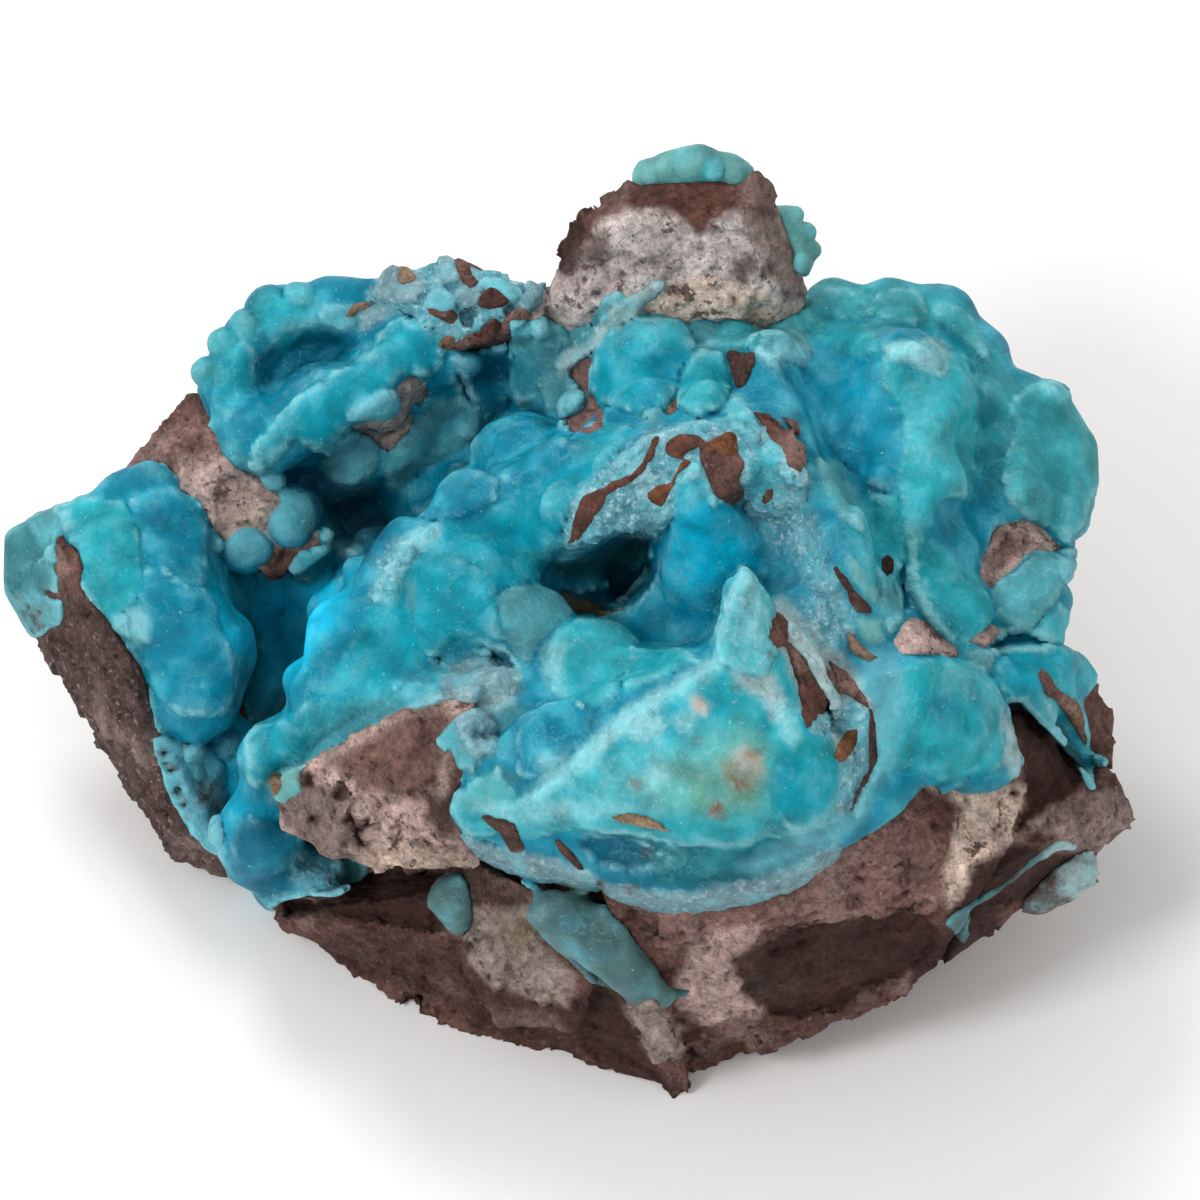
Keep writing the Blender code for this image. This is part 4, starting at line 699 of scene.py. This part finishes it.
Q 0.9 0.5 grey 463,862 498,868 510,885 542,891 527,915 545,944 574,976 569,1003 527,1000 492,985 466,965
Q 0.9 0.5 umber 463,862 498,868 510,885 542,891 530,905 490,910 470,900
Q 0.6 0.6 olive 498,918 528,915 538,944 510,950
Q 0.9 0.4 maroon 570,1000 600,985 625,1000 645,1050 690,1090 650,1085 590,1040 560,1020
R 0.28 0.4 grey 627,1003 651,995 680,1032 677,1058 651,1058 645,1032
S 0.4 0.6 slate 527,915 539,900 563,894 586,888 604,903 621,929 648,967 665,988 692,991 686,997 651,997
  636,1003 618,991 592,985 569,962 548,944
P 1 0.3 slate 512,915 533,890 563,880 602,888 622,912 645,932 668,958 682,980 708,988 702,1006 650,1012
  608,1005 578,990 552,965 530,945
P 1 0.3 slate 416,905 424,880 443,860 472,858 480,890 477,925 462,948 438,936
P 0.3 0.4 haze 527,915 539,900 563,894 560,905 545,925 575,960 600,975 640,990 620,992 590,985 550,945
"""

# Round lumps and discs of smithsonite: pixel across, pixel down, radius in pixels, tint.
LUMPS = """
247,540,24,foam 289,517,25,foam 304,522,12,mist 468,424,14,foam 270,481,13,foam 325,536,8,sea 214,544,9,deep
640,238,9,chalk 658,245,5,chalk 770,292,10,mist 655,420,9,mist 411,585,5,mist 411,594,6,mist 415,604,6,mist
225,742,14,deep 312,940,8,slate 325,945,7,slate 337,949,6,lichen 430,945,8,slate 443,950,6,slate
470,1012,7,lichen 484,1019,7,slate 497,1026,5,slate 548,1031,7,lichen 560,1038,5,slate 674,1070,9,slate
684,1080,8,lichen 300,299,15,turquoise 270,311,17,turquoise 246,327,15,aqua 225,344,15,turquoise
207,372,14,aqua 652,177,9,lichen 668,170,12,lichen 690,165,16,lichen 713,171,12,aqua 733,177,10,lichen
748,182,7,aqua 704,340,18,mist 732,340,17,aqua 760,338,18,aqua 786,334,17,mist 808,326,15,aqua
545,332,17,mist 574,330,19,mist 522,340,12,mist 600,318,9,mist 655,322,9,mist 795,215,9,lichen
806,232,10,lichen 812,250,9,lichen 800,262,10,lichen
"""

# Pits, cut and painted dark as painted shade: pixel across, pixel down, radius in pixels.
PITS = """
307,781,8 351,818,8 358,832,7 368,822,7 322,791,4 337,793,6 362,842,6 314,818,5 306,834,3 585,300,2
640,262,3 700,250,3 725,215,3 690,210,3 1012,792,5 995,830,5 925,790,4 490,975,4 968,800,3 164,752,4
172,770,4 178,790,5 184,803,4 189,815,3 166,764,3 200,797,3 186,746,3 22,596,3 30,606,4 35,616,4 26,613,3
40,626,4 33,629,3 42,612,3 735,689,3 648,851,5 602,884,4 632,888,4 700,740,3 770,655,3
"""


# ------------------------------------------------------------------------------
# Sculpting
# ------------------------------------------------------------------------------
LAYER_DEPTH = 5.0  # how far in a layer reaches below the face
MARGIN = 5.0  # how far round its outline a layer is worked out
LARGE_LUMP = 16.0  # a lump with a larger radius in pixels is sunk deeper
CRUST_BLUR = 0.4
FILLET, MOST_FILLET = 2.4, 1.1  # where crust meets rock: how wide it runs up, and how far it may grow


def plan_noise(size, seed, octaves):
    """Fractal noise for every (u, v) of the grid."""
    flat = np.stack(np.broadcast_arrays(PLAN_U, PLAN_V, 0.0 * PLAN_U), axis=-1).reshape(-1, 3)
    return fractal(flat, size, seed, octaves).reshape(SHAPE[:2])


def on_plan(height, pixels):
    """The (u, v) of the surface that shows at each pixel."""
    return np.array([placed(height, px, py)[:2] for px, py in pixels])


def from_outline(corners, cut):
    """For every (u, v) of a cut of the grid, its distance to an outline, below zero inside."""
    u, v = PLAN_U[cut[0]], PLAN_V[:, cut[1]]
    nearest = np.full(np.broadcast(u, v).shape, 1e9)
    inside = np.zeros(nearest.shape, bool)
    for (u0, v0), (u1, v1) in zip(corners, np.roll(corners, -1, axis=0)):
        du, dv = u1 - u0, v1 - v0
        t = np.clip(((u - u0) * du + (v - v0) * dv) / max(du * du + dv * dv, 1e-9), 0, 1)
        nearest = np.minimum(nearest, (u - u0 - t * du) ** 2 + (v - v0 - t * dv) ** 2)
        crosses = (v0 > v) != (v1 > v)
        inside ^= crosses & (u < (v - v0) / (dv or 1e-9) * du + u0)
    far = np.sqrt(nearest)
    return np.where(inside, -far, far)


def from_spot(centre, cut):
    """For every (u, v) of a cut of the grid, its distance to a point."""
    return np.sqrt((PLAN_U[cut[0]] - centre[0]) ** 2 + (PLAN_V[:, cut[1]] - centre[1]) ** 2)


def pushed_back(field, depth):
    """A field moved away from the display face by a depth for each of its points."""
    at = np.clip(np.arange(field.shape[2]) + depth / VOXEL, 0, field.shape[2] - 1.001)
    base = at.astype(int)
    part = at - base
    return np.take_along_axis(field, base, 2) * (1 - part) + np.take_along_axis(field, base + 1, 2) * part


def domed(plan, height, shoulder):
    """How high a form stands over its outline: round at the shoulder and level within it."""
    share = np.clip(-plan[:, :, None] / shoulder, 0, 1)
    return height * np.sqrt(1 - (1 - share) ** 2)


class Face:
    """The specimen's two fields, and the colours of its display face, as they are sculpted."""

    def __init__(self, crust, rock):
        self.crust, self.rock = crust, rock
        self.top = top_of(np.minimum(crust, rock))
        self.behind = self.top[:, :, None] - LAYER_DEPTH - OUT_W
        self.ragged = 0.22 * plan_noise(1.6, 5, 3)
        self.crust_tints = np.tile(np.array(TINTS["blue"]), (*SHAPE[:2], 1))
        self.rock_tints = np.tile(np.array(TINTS["brown"]), (*SHAPE[:2], 1))

    def add(self, kind, size, width, tint, outline):
        """Adds one layer of the face, as LAYERS describes it."""
        corners = on_plan(self.top, outline)
        cut = cut_round(corners.min(axis=0), corners.max(axis=0), MARGIN)
        plan = from_outline(corners, cut) + self.ragged[cut]
        if kind == "P":
            self.paint(self.crust_tints, cut, plan, tint, size, width)
        elif kind == "Q":
            self.paint(self.rock_tints, cut, plan, tint, size, width)
        elif kind == "V":
            self.dent(cut, plan, size, width, tint)
        elif kind == "H":
            self.hollow(cut, plan, size, width, tint)
        elif size < 0:
            self.lay_bare(cut, plan, size, tint)
        else:
            self.coat(kind, cut, plan, size, width, tint)

    def paint(self, tints, cut, edge, tint, share, soft):
        """Lays a tint inside an edge, fading over a soft width."""
        inside = share * smooth(-soft, soft, -edge)
        tints[cut] += inside[..., None] * (np.array(TINTS[tint]) - tints[cut])

    def dent(self, cut, plan, depth, slope, tint):
        """Pushes smithsonite and rock in, and paints its tint in the dent as painted shade."""
        depths = depth * smooth(0, -slope, plan[:, :, None]) * smooth(1, -1, self.behind[cut])
        self.crust[cut] = pushed_back(self.crust[cut], depths)
        self.rock[cut] = pushed_back(self.rock[cut], depths)
        self.paint(self.crust_tints, cut, plan, tint, 0.8, slope / 2)

    def hollow(self, cut, plan, depth, slope, tint):
        """Cuts smithsonite and rock away, and paints its tint in the cut; a navy or deep tint there is
        painted shade.
        """
        lost = domed(plan, depth, slope) * smooth(1, -1, self.behind[cut])
        self.crust[cut] += lost
        self.rock[cut] += lost
        self.paint(self.crust_tints, cut, plan, tint, 0.9, 0.2)
        self.paint(self.rock_tints, cut, plan, tint, 0.95, 0.15)

    def lay_bare(self, cut, plan, height, tint):
        """Lets the rock show through the smithsonite, from below the face."""
        edge, behind = plan[:, :, None], self.behind[cut]
        above = behind + LAYER_DEPTH + height
        self.crust[cut] = np.maximum(self.crust[cut], -np.maximum(edge, above - 0.5))
        self.rock[cut] = np.minimum(self.rock[cut], np.maximum(np.maximum(edge - 0.5, behind), -above))
        self.paint(self.rock_tints, cut, plan - 0.5, tint, 1, 0.3)

    def coat(self, kind, cut, plan, height, shoulder, tint):
        """Puts smithsonite or rock over what is there."""
        crust, rock = self.crust[cut], self.rock[cut]
        bound = np.maximum(plan[:, :, None], self.behind[cut])
        layer = np.maximum(bound, np.minimum(crust, rock) - domed(plan, height, shoulder))
        if kind == "S":
            self.crust[cut] = np.minimum(crust, layer)
            self.paint(self.crust_tints, cut, plan, tint, 1, 0.3)
        else:
            self.rock[cut] = np.minimum(rock, layer)
            self.paint(self.rock_tints, cut, plan - 0.3, tint, 1, 0.2)

    def add_lump(self, px, py, radius, tint):
        """Adds a round lump of smithsonite."""
        centre = placed(self.top, px, py)
        reach = radius / PX_PER_MM
        sunk = 0.9 if radius > LARGE_LUMP else 0.35
        centre[2] -= sunk * reach
        cut, lump = ball(centre, math.hypot(sunk, 1) * reach)
        self.crust[cut] = unite(self.crust[cut], lump, 0.1)
        cut = cut_round(centre[:2], centre[:2], reach + 1)
        self.paint(self.crust_tints, cut, from_spot(centre, cut) - reach, tint, 1, 0.3)

    def add_pit(self, px, py, radius):
        """Cuts a round pit, and paints it dark as painted shade."""
        centre = placed(self.top, px, py)
        reach = radius / PX_PER_MM
        cut, pit = ball(centre, reach)
        self.rock[cut] = np.maximum(self.rock[cut], -pit)
        self.crust[cut] = np.maximum(self.crust[cut], -pit)
        cut = cut_round(centre[:2], centre[:2], reach + 1)
        edge = from_spot(centre, cut) - 1.1 * reach
        self.paint(self.rock_tints, cut, edge, "maroon", 1, 0.1)
        self.paint(self.crust_tints, cut, edge, "umber", 0.9, 0.2)


def numbers(words):
    """The numbers in some text, between commas."""
    return [float(word) for word in words.split(",")]


def make_face():
    """The smithsonite and the host rock as fields, with every form sculpted in."""
    crust = blurred(blurred(field_of(CRUST_NODES), CRUST_BLUR), CRUST_BLUR)
    rock = field_of([ROCK_NODE])
    crust = np.minimum(crust, np.maximum(unite(crust, rock, FILLET), crust - MOST_FILLET))
    face = Face(crust, rock)
    for line in LAYERS.replace("\n  ", " ").strip().splitlines():
        if not line.startswith("#"):
            kind, size, width, tint, *outline = line.split()
            face.add(kind, float(size), float(width), tint, [numbers(pixel) for pixel in outline])
    for lump in LUMPS.split():
        place, tint = lump.rsplit(",", 1)
        face.add_lump(*numbers(place), tint)
    for pit in PITS.split():
        face.add_pit(*numbers(pit))
    face.top = top_of(np.minimum(face.crust, face.rock))
    return face


def read_plan(plan, points):
    """A map's values at the (u, v) of points."""
    at = points[:, :2] / VOXEL - START[:2]
    base = np.clip(np.floor(at).astype(int), 0, np.array(SHAPE[:2]) - 2)
    part = np.clip(at - base, 0, 1)
    i, j = base.T
    a, b = part[:, :1], part[:, 1:]
    if plan.ndim == 2:  # one value at each place, not a tint
        a, b = part[:, 0], part[:, 1]
    near = plan[i, j] * (1 - a) + plan[i + 1, j] * a
    far = plan[i, j + 1] * (1 - a) + plan[i + 1, j + 1] * a
    return near * (1 - b) + far * b


def face_colours(points, tints, top, base, seed, stray):
    """Colours at points: what the display face shows there, a little astray, and elsewhere the base tint."""
    seen = smooth(-6.5, -3.5, points[:, 2] - read_plan(top, points))
    shift = np.zeros_like(points)
    shift[:, 0] = stray * fractal(points, 1.5, seed, 3)
    shift[:, 1] = stray * fractal(points, 1.5, seed + 7, 3)
    shown = read_plan(tints, points + shift)
    return shown * seen[:, None] + np.array(TINTS[base]) * (1 - seen[:, None])


def lay(colour, share, tint):
    """A tint laid over colours by a share for each point."""
    colour += np.clip(share, 0, 1)[:, None] * (np.array(TINTS[tint]) - colour)


def thin_out(obj, hidden):
    """Brings a mesh down to few enough triangles, first where it is hidden, and inside the CAD's box."""
    order = obj.vertex_groups.new(name="thinned first")
    order.add(np.flatnonzero(hidden).tolist(), 1.0, "REPLACE")
    order.add(np.flatnonzero(~hidden).tolist(), 0.5, "REPLACE")
    fewer = obj.modifiers.new("fewer", "DECIMATE")
    fewer.ratio = MOST_TRIANGLES / len(obj.data.polygons)
    fewer.vertex_group, fewer.vertex_group_factor = order.name, 3e-6
    obj.data = bpy.data.meshes.new_from_object(obj.evaluated_get(bpy.context.evaluated_depsgraph_get()))
    obj.modifiers.clear()
    obj.vertex_groups.clear()
    points = np.empty(len(obj.data.vertices) * 3, np.float32)
    obj.data.vertices.foreach_get("co", points)
    inside = np.clip(points.reshape(-1, 3), *(np.array(side) for side in cad_box))
    obj.data.vertices.foreach_set("co", inside.ravel().astype(np.float32))
    obj.data.update()


def make_object(name, points, faces, colours, hidden):
    """A mesh object from points on the display face, with its colours."""
    mesh = bpy.data.meshes.new(name)
    inside = np.clip(to_world(points), *(np.array(side) for side in cad_box))
    mesh.from_pydata(inside.tolist(), [], faces.tolist())
    mesh.polygons.foreach_set("use_smooth", np.ones(len(mesh.polygons), bool))
    tint = mesh.attributes.new("tint", "FLOAT_COLOR", "POINT")
    tint.data.foreach_set("color", np.clip(colours, 0, 1).ravel())
    obj = bpy.data.objects.new(name, mesh)
    bpy.context.scene.collection.objects.link(obj)
    thin_out(obj, hidden)
    return obj


# ------------------------------------------------------------------------------
# Materials
# ------------------------------------------------------------------------------
# Colours of the fine marks on smithsonite, GLINT among them a painted highlight, and then on rock, PIT among
# them painted shade in pits
VEIL = (0.34, 0.60, 0.66, 1)
SUGAR = (0.50, 0.72, 0.78, 1)
DISC = (0.16, 0.52, 0.58, 1)
RIM = (0.24, 0.66, 0.72, 1)
WISP = (0.20, 0.60, 0.68, 1)
GLINT = (0.40, 0.70, 0.78, 1)
PALE_GRAIN = (0.50, 0.37, 0.33, 1)
DARK_GRAIN = (0.045, 0.026, 0.022, 1)
FLECK = (0.115, 0.06, 0.052, 1)
PIT = (0.02, 0.012, 0.01, 1)


class Shader:
    """A material's node tree, built node by node."""

    def __init__(self, name):
        self.material = bpy.data.materials.new(name)
        self.material.use_nodes = True
        self.tree = self.material.node_tree
        self.place = self.node("ShaderNodeTexCoord").outputs["Object"]

    def node(self, kind, inputs=None, **settings):
        """A node with some settings, and its inputs set or linked."""
        node = self.tree.nodes.new(kind)
        for key, value in settings.items():
            setattr(node, key, value)
        for key, value in (inputs or {}).items():
            self.feed(node.inputs[key], value)
        return node

    def feed(self, socket, value):
        """Links an output into a socket, or sets its value."""
        if isinstance(value, bpy.types.NodeSocket):
            self.tree.links.new(value, socket)
        else:
            socket.default_value = value

    def made(self, inputs):
        """The material, with its shader's inputs set or linked."""
        for key, value in inputs.items():
            self.feed(self.tree.nodes["Principled BSDF"].inputs[key], value)
        return self.material

    def tint(self):
        """The colour that the mesh holds, and its fourth value."""
        held = self.node("ShaderNodeAttribute", attribute_name="tint").outputs
        return held["Color"], held["Alpha"]

    def grain(self, scale, detail, roughness=0.6):
        """Noise with this many bumps to the metre."""
        inputs = {"Vector": self.place, "Scale": scale, "Detail": detail, "Roughness": roughness}
        return self.node("ShaderNodeTexNoise", inputs).outputs["Fac"]

    def cells(self, scale):
        """The outputs of a pattern with this many cells to the metre."""
        return self.node("ShaderNodeTexVoronoi", {"Vector": self.place, "Scale": scale}).outputs

    def ramp(self, factor, low, high, start=0.0, end=1.0):
        """A factor spread from its range between low and high to the one between start and end."""
        inputs = {"Value": factor, "From Min": low, "From Max": high, "To Min": start, "To Max": end}
        return self.node("ShaderNodeMapRange", inputs).outputs["Result"]

    def maths(self, operation, *values):
        """The result of an operation on one or two values."""
        return self.node("ShaderNodeMath", dict(enumerate(values)), operation=operation).outputs[0]

    def times(self, first, *others):
        """Values multiplied."""
        for value in others:
            first = self.maths("MULTIPLY", first, value)
        return first

    def first_of(self, colour):
        """A colour's red."""
        return self.node("ShaderNodeSeparateColor", {0: colour}).outputs[0]

    def mix(self, factor, a, b, blend="MIX"):
        """Two colours mixed."""
        inputs = {0: factor, 6: a, 7: b}
        return self.node("ShaderNodeMix", inputs, data_type="RGBA", blend_type=blend).outputs[2]

    def shaded(self, colour, value):
        """A colour made darker or lighter by a value."""
        grey = self.node("ShaderNodeCombineColor", {0: value, 1: value, 2: value}).outputs[0]
        return self.mix(1.0, colour, grey, "MULTIPLY")

    def wisps(self, scale, width):
        """Thin wandering lines, where a noise with this many bumps to the metre crosses its middle."""
        off = self.maths("SUBTRACT", self.grain(scale, 3, 0.5), 0.5)
        return self.ramp(self.maths("ABSOLUTE", off), 0.0, width, 1.0, 0.0)

    def dots(self, scale, size, rarity, strength):
        """Small round dots, in some of the cells of a pattern with this many to the metre."""
        cells = self.cells(scale)
        dot = self.ramp(cells["Distance"], 0.6 * size, size, strength, 0.0)
        return self.times(dot, self.ramp(self.first_of(cells["Color"]), rarity, rarity + 0.05))

    def discs(self, scale, size):
        """Overlapping round discs, and their rims, from a pattern with this many cells to the metre."""
        far = self.cells(scale)["Distance"]
        disc = self.ramp(far, size, size - 0.03)
        return disc, self.times(disc, self.ramp(far, size - 0.08, size - 0.04))

    def bumps(self, *layers):
        """A normal with bumps one on another, each a height and how many metres it is worth."""
        below = {}
        for height, distance in layers:
            inputs = {"Height": height, "Distance": distance, "Strength": 1.0, **below}
            below = {"Normal": self.node("ShaderNodeBump", inputs).outputs["Normal"]}
        return below["Normal"]


def smithsonite():
    """Waxy, fine-grained smithsonite, frosted with tiny crystals."""
    s = Shader("smithsonite")
    tint, frost = s.tint()
    colour = s.shaded(tint, s.ramp(s.grain(330, 5), 0.3, 0.7, 0.76, 1.2))
    veil = s.ramp(s.grain(480, 6, 0.62), 0.47, 0.62, 0.0, 0.55)
    colour = s.mix(s.times(frost, veil), colour, VEIL)
    thick = s.ramp(s.grain(1500, 4, 0.7), 0.52, 0.64, 0.0, 0.85)
    colour = s.mix(s.times(frost, thick), colour, SUGAR)
    some = s.ramp(s.grain(150, 2), 0.46, 0.56)
    for scale, size in ((170, 0.52), (320, 0.46)):
        disc, rim = s.discs(scale, size)
        colour = s.mix(s.times(disc, some, 0.07), colour, DISC)
        colour = s.mix(s.times(rim, some, 0.05), colour, RIM)
    for scale, width in ((210, 0.012), (430, 0.016)):
        colour = s.mix(s.times(s.wisps(scale, width), some, 0.15), colour, WISP)
    # painted highlight: pale glint specks mixed into the colour
    colour = s.mix(s.ramp(s.grain(2300, 2), 0.69, 0.75, 0.0, 0.6), colour, GLINT)
    rough = s.ramp(frost, 0.0, 1.0, 0.4, 1.2)
    return s.made({
        "Base Color": colour,
        "Subsurface Weight": 0.2,
        "Subsurface Radius": (0.1, 0.7, 1.0),
        "Subsurface Scale": 0.0015,
        "Specular IOR Level": 0.12,
        "Roughness": s.ramp(s.grain(900, 3), 0.35, 0.65, 0.38, 0.55),
        "Normal": s.bumps(
            (s.times(s.grain(1100, 4, 0.65), rough), 0.0005),
            (s.times(s.cells(900)["Distance"], frost), 0.0004),
            (s.grain(4200, 3, 0.7), 0.00004),
        ),
    })


def host_rock():
    """Dull, grainy volcanic rock with small dark pits, their shade painted as dots."""
    s = Shader("host_rock")
    tint, pitted = s.tint()
    colour = s.shaded(tint, s.ramp(s.grain(260, 7, 0.68), 0.3, 0.7, 0.55, 1.38))
    colour = s.shaded(colour, s.ramp(s.grain(900, 5, 0.7), 0.38, 0.62, 0.72, 1.25))
    paleness = s.ramp(s.first_of(tint), 0.32, 0.6)
    flecks = s.ramp(s.grain(330, 7, 0.72), 0.58, 0.60, 0.0, 0.85)
    colour = s.mix(s.times(flecks, paleness), colour, FLECK)
    pale = s.ramp(s.grain(1500, 3), 0.58, 0.70, 0.0, 0.7)
    colour = s.mix(s.times(pale, pitted), colour, PALE_GRAIN)
    colour = s.mix(s.ramp(s.grain(2400, 3), 0.58, 0.68, 0.0, 0.6), colour, DARK_GRAIN)
    return s.made({
        # painted shade: dark dots for small pits where the rock is pitted
        "Base Color": s.mix(s.times(s.dots(700, 0.16, 0.3, 0.9), pitted), colour, PIT),
        "Specular IOR Level": 0.25,
        "Roughness": s.ramp(s.grain(1200, 3), 0.35, 0.65, 0.68, 0.88),
        "Normal": s.bumps(
            (s.grain(650, 7, 0.72), 0.0009),
            (s.cells(520)["Distance"], 0.0005),
            (s.cells(1250)["Distance"], 0.00025),
            (s.grain(3600, 3, 0.7), 0.0001),
        ),
    })


# ------------------------------------------------------------------------------
# The specimen
# ------------------------------------------------------------------------------
# Sizes of the fine forms, in millimetres
LARGE_LOBE, SMALL_LOBE, SPLINTER, SUGAR_GRAIN, MILK_CLOUD = 4.6, 2.2, 1.9, 0.9, 3.2
BLOCK, CHIP, CRUMB, PIT_GAP, SHADE_PATCH = 6.0, 2.2, 1.2, 1.5, 9.0
LOBED_PATCH = 11.0  # the patches of crust that have large lobes


def lobes(points, size, seed):
    """Rounded lobes of about this size that meet in creases: from 0 in the creases to 1 on the tops."""
    far, _, _ = nearest_cell(points + 0.2 * size * noise(points, 0.8 * size, seed)[:, None], size, seed)
    return 1 - np.clip(far / (0.85 * size), 0, 1) ** 2


def plates(points, size, seed):
    """Broken flat faces of about this size, each with its own tilt."""
    _, way, chance = nearest_cell(points + 0.2 * size * noise(points, 0.7 * size, seed)[:, None], size, seed)
    return ((chance * 2 - 1) * way).sum(axis=1)


def skin_relief(points, frost, calm, large, small):
    """How far the smithsonite stands off its field: lobed where calm and splintered where frosted."""
    relief = calm * 0.5 * large + 0.10 * small * (1 - frost)
    relief += frost * 0.34 * plates(points, SPLINTER, 33)
    return relief + (0.012 + 0.12 * frost) * fractal(points, SUGAR_GRAIN, 31, 2)


def paint_skin_shade_and_clouds(colour, points, crust, calm, large, small):
    """Deepens the smithsonite's colours in hollows and creases as painted shade, and pales its bulges and
    edges as painted highlight, partly frost, and its milky clouds.
    """
    frost = colour[:, 3]
    lively = smooth(0.4, 0.15, colour[:, 0] / np.maximum(colour[:, 1], 0.01))  # grey crust stays grey
    wide = sampled(blurred(blurred(crust, 2.0), 1.2) - crust, points)
    edge = sampled(blurred(crust, 0.4) - crust, points)
    # painted shade: deep laid in wide hollows
    lay(colour, smooth(-0.05, -1.2, wide) * 0.5, "deep")
    # painted highlight, partly frost: pale laid on wide bulges
    lay(colour, smooth(0.2, 1.0, wide) * 0.25 * lively, "pale")
    # painted shade: deep laid in the creases between large and small lobes
    lay(colour, smooth(0.30, 0.0, large) * calm * 0.4, "deep")
    lay(colour, smooth(0.25, 0.0, small) * (1 - frost) * 0.3, "deep")
    milk = fractal(points, MILK_CLOUD, 41, 4)
    colour[:, :3] *= 1 + 0.30 * milk[:, None]
    lay(colour, smooth(0.10, 0.55, milk) * 0.35 * smooth(0.12, 0.25, colour[:, 1]), "pale")
    # painted highlight, partly frost: ice laid on sharp edges
    lay(colour, smooth(0.03, 0.14, edge) * 0.6 * lively, "ice")
    # painted shade: deep laid in fine creases
    lay(colour, smooth(-0.02, -0.14, edge) * 0.55, "deep")


def make_skin(face):
    """The smithsonite: lobed where it grew smooth, and splintered where it is frosted."""
    points, faces = without_crumbs(*surface_of(face.crust))
    open_air = smooth(0.0, 0.5, sampled(face.rock, points))
    colour = face_colours(points, face.crust_tints, face.top, "teal", 50, 0.35)
    calm = smooth(0.6, -0.2, noise(points, LOBED_PATCH, 77)) * (1 - colour[:, 3])
    large, small = lobes(points, LARGE_LOBE, 21), lobes(points, SMALL_LOBE, 23)
    relief = skin_relief(points, colour[:, 3], calm, large, small) * open_air
    paint_skin_shade_and_clouds(colour, points, face.crust, calm, large, small)
    points = points + relief[:, None] * normals_of(points, faces)
    skin = make_object("smithsonite_skin", points, faces, colour, open_air < 0.01)
    skin.data.materials.append(smithsonite())
    return skin


def make_body(face):
    """The host rock: broken faces, grain and gas pits."""
    points, faces = without_crumbs(*surface_of(face.rock))
    colour = face_colours(points, face.rock_tints, face.top, "brown", 60, 0.3)
    buried = sampled(face.crust, points)
    free = smooth(0.05, 0.9, buried)
    broken = 0.16 * plates(points, BLOCK, 71) + 0.26 * plates(points, CHIP, 73)
    broken += 0.10 * fractal(points, CRUMB, 81, 3)
    far, _, chance = nearest_cell(points, PIT_GAP, 91)
    pits = smooth(0.5, 0.25, far) * (chance[:, 0] < 0.4 * colour[:, 3])
    rugged = smooth(0.04, 0.12, colour[:, 0])
    relief = (broken * (0.35 + 0.65 * rugged) - 0.3 * pits) * free
    points = points + relief[:, None] * normals_of(points, faces)
    shade = fractal(points, SHADE_PATCH, 95, 3)
    lay(colour, smooth(0.1, 0.9, shade) * 0.3 * rugged, "greypink")
    lay(colour, smooth(-0.1, -0.9, shade) * 0.4 * rugged, "umber")
    # painted shade: maroon laid in the small pits
    lay(colour, 0.85 * pits, "maroon")
    body = make_object("host_rock_body", points, faces, colour, buried < -0.1)
    body.data.materials.append(host_rock())
    return body


sculpted = make_face()
skin = make_skin(sculpted)
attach(skin, "root")
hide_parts(*CRUST_NODES)
body = make_body(sculpted)
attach(body, "root")
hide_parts(ROCK_NODE)


# ------------------------------------------------------------------------------
# Floor, light and camera
# ------------------------------------------------------------------------------
FLOOR_SIZE, LIGHT_SIZE = 6, 0.3
AIM = Vector((0, 0, 0.03))  # what the lights face
SENSOR = 36  # the camera's, in millimetres


def make_floor():
    """A plain white floor."""
    bpy.ops.mesh.primitive_plane_add(size=FLOOR_SIZE)
    floor = bpy.context.object
    floor.name = "floor"
    plain = {"Base Color": (0.97, 0.97, 0.97, 1), "Roughness": 0.9, "Specular IOR Level": 0.0}
    floor.data.materials.append(Shader("floor").made(plain))


def make_light(name, where, power):
    """A square soft light that faces the specimen."""
    data = bpy.data.lights.new(name, "AREA")
    data.size, data.energy = LIGHT_SIZE, power
    light = bpy.data.objects.new(name, data)
    light.location = where
    light.rotation_euler = (AIM - Vector(where)).to_track_quat("-Z", "Y").to_euler()
    bpy.context.scene.collection.objects.link(light)


def make_camera():
    """The camera, on the display face's own axis."""
    data = bpy.data.cameras.new("camera")
    data.lens, data.sensor_width = SENSOR * EYE / (FRAME_PX / PX_PER_MM), SENSOR
    data.clip_start, data.clip_end = 0.01, 20
    camera = bpy.data.objects.new("camera", data)
    up, back = Vector((0, FACE_OUT, FACE_UP)), Vector((0, -FACE_UP, FACE_OUT))
    turn = Matrix((Vector((1, 0, 0)), up, back)).transposed().to_4x4()
    camera.matrix_world = Matrix.Translation(to_world(np.array([0.0, 0.0, EYE])).tolist()) @ turn
    bpy.context.scene.collection.objects.link(camera)
    bpy.context.scene.camera = camera


def make_world():
    """Even white light from all round."""
    world = bpy.data.worlds.new("world")
    world.use_nodes = True
    background = world.node_tree.nodes["Background"]
    background.inputs["Color"].default_value = (1.0, 0.985, 0.965, 1)
    background.inputs["Strength"].default_value = 0.68
    bpy.context.scene.world = world


make_floor()
make_light("key", (-0.3, 0.6, 0.85), 3.8)
make_light("front", (-0.6, -0.42, 0.8), 4.2)
make_world()
make_camera()
bpy.context.scene.view_settings.view_transform = "Standard"
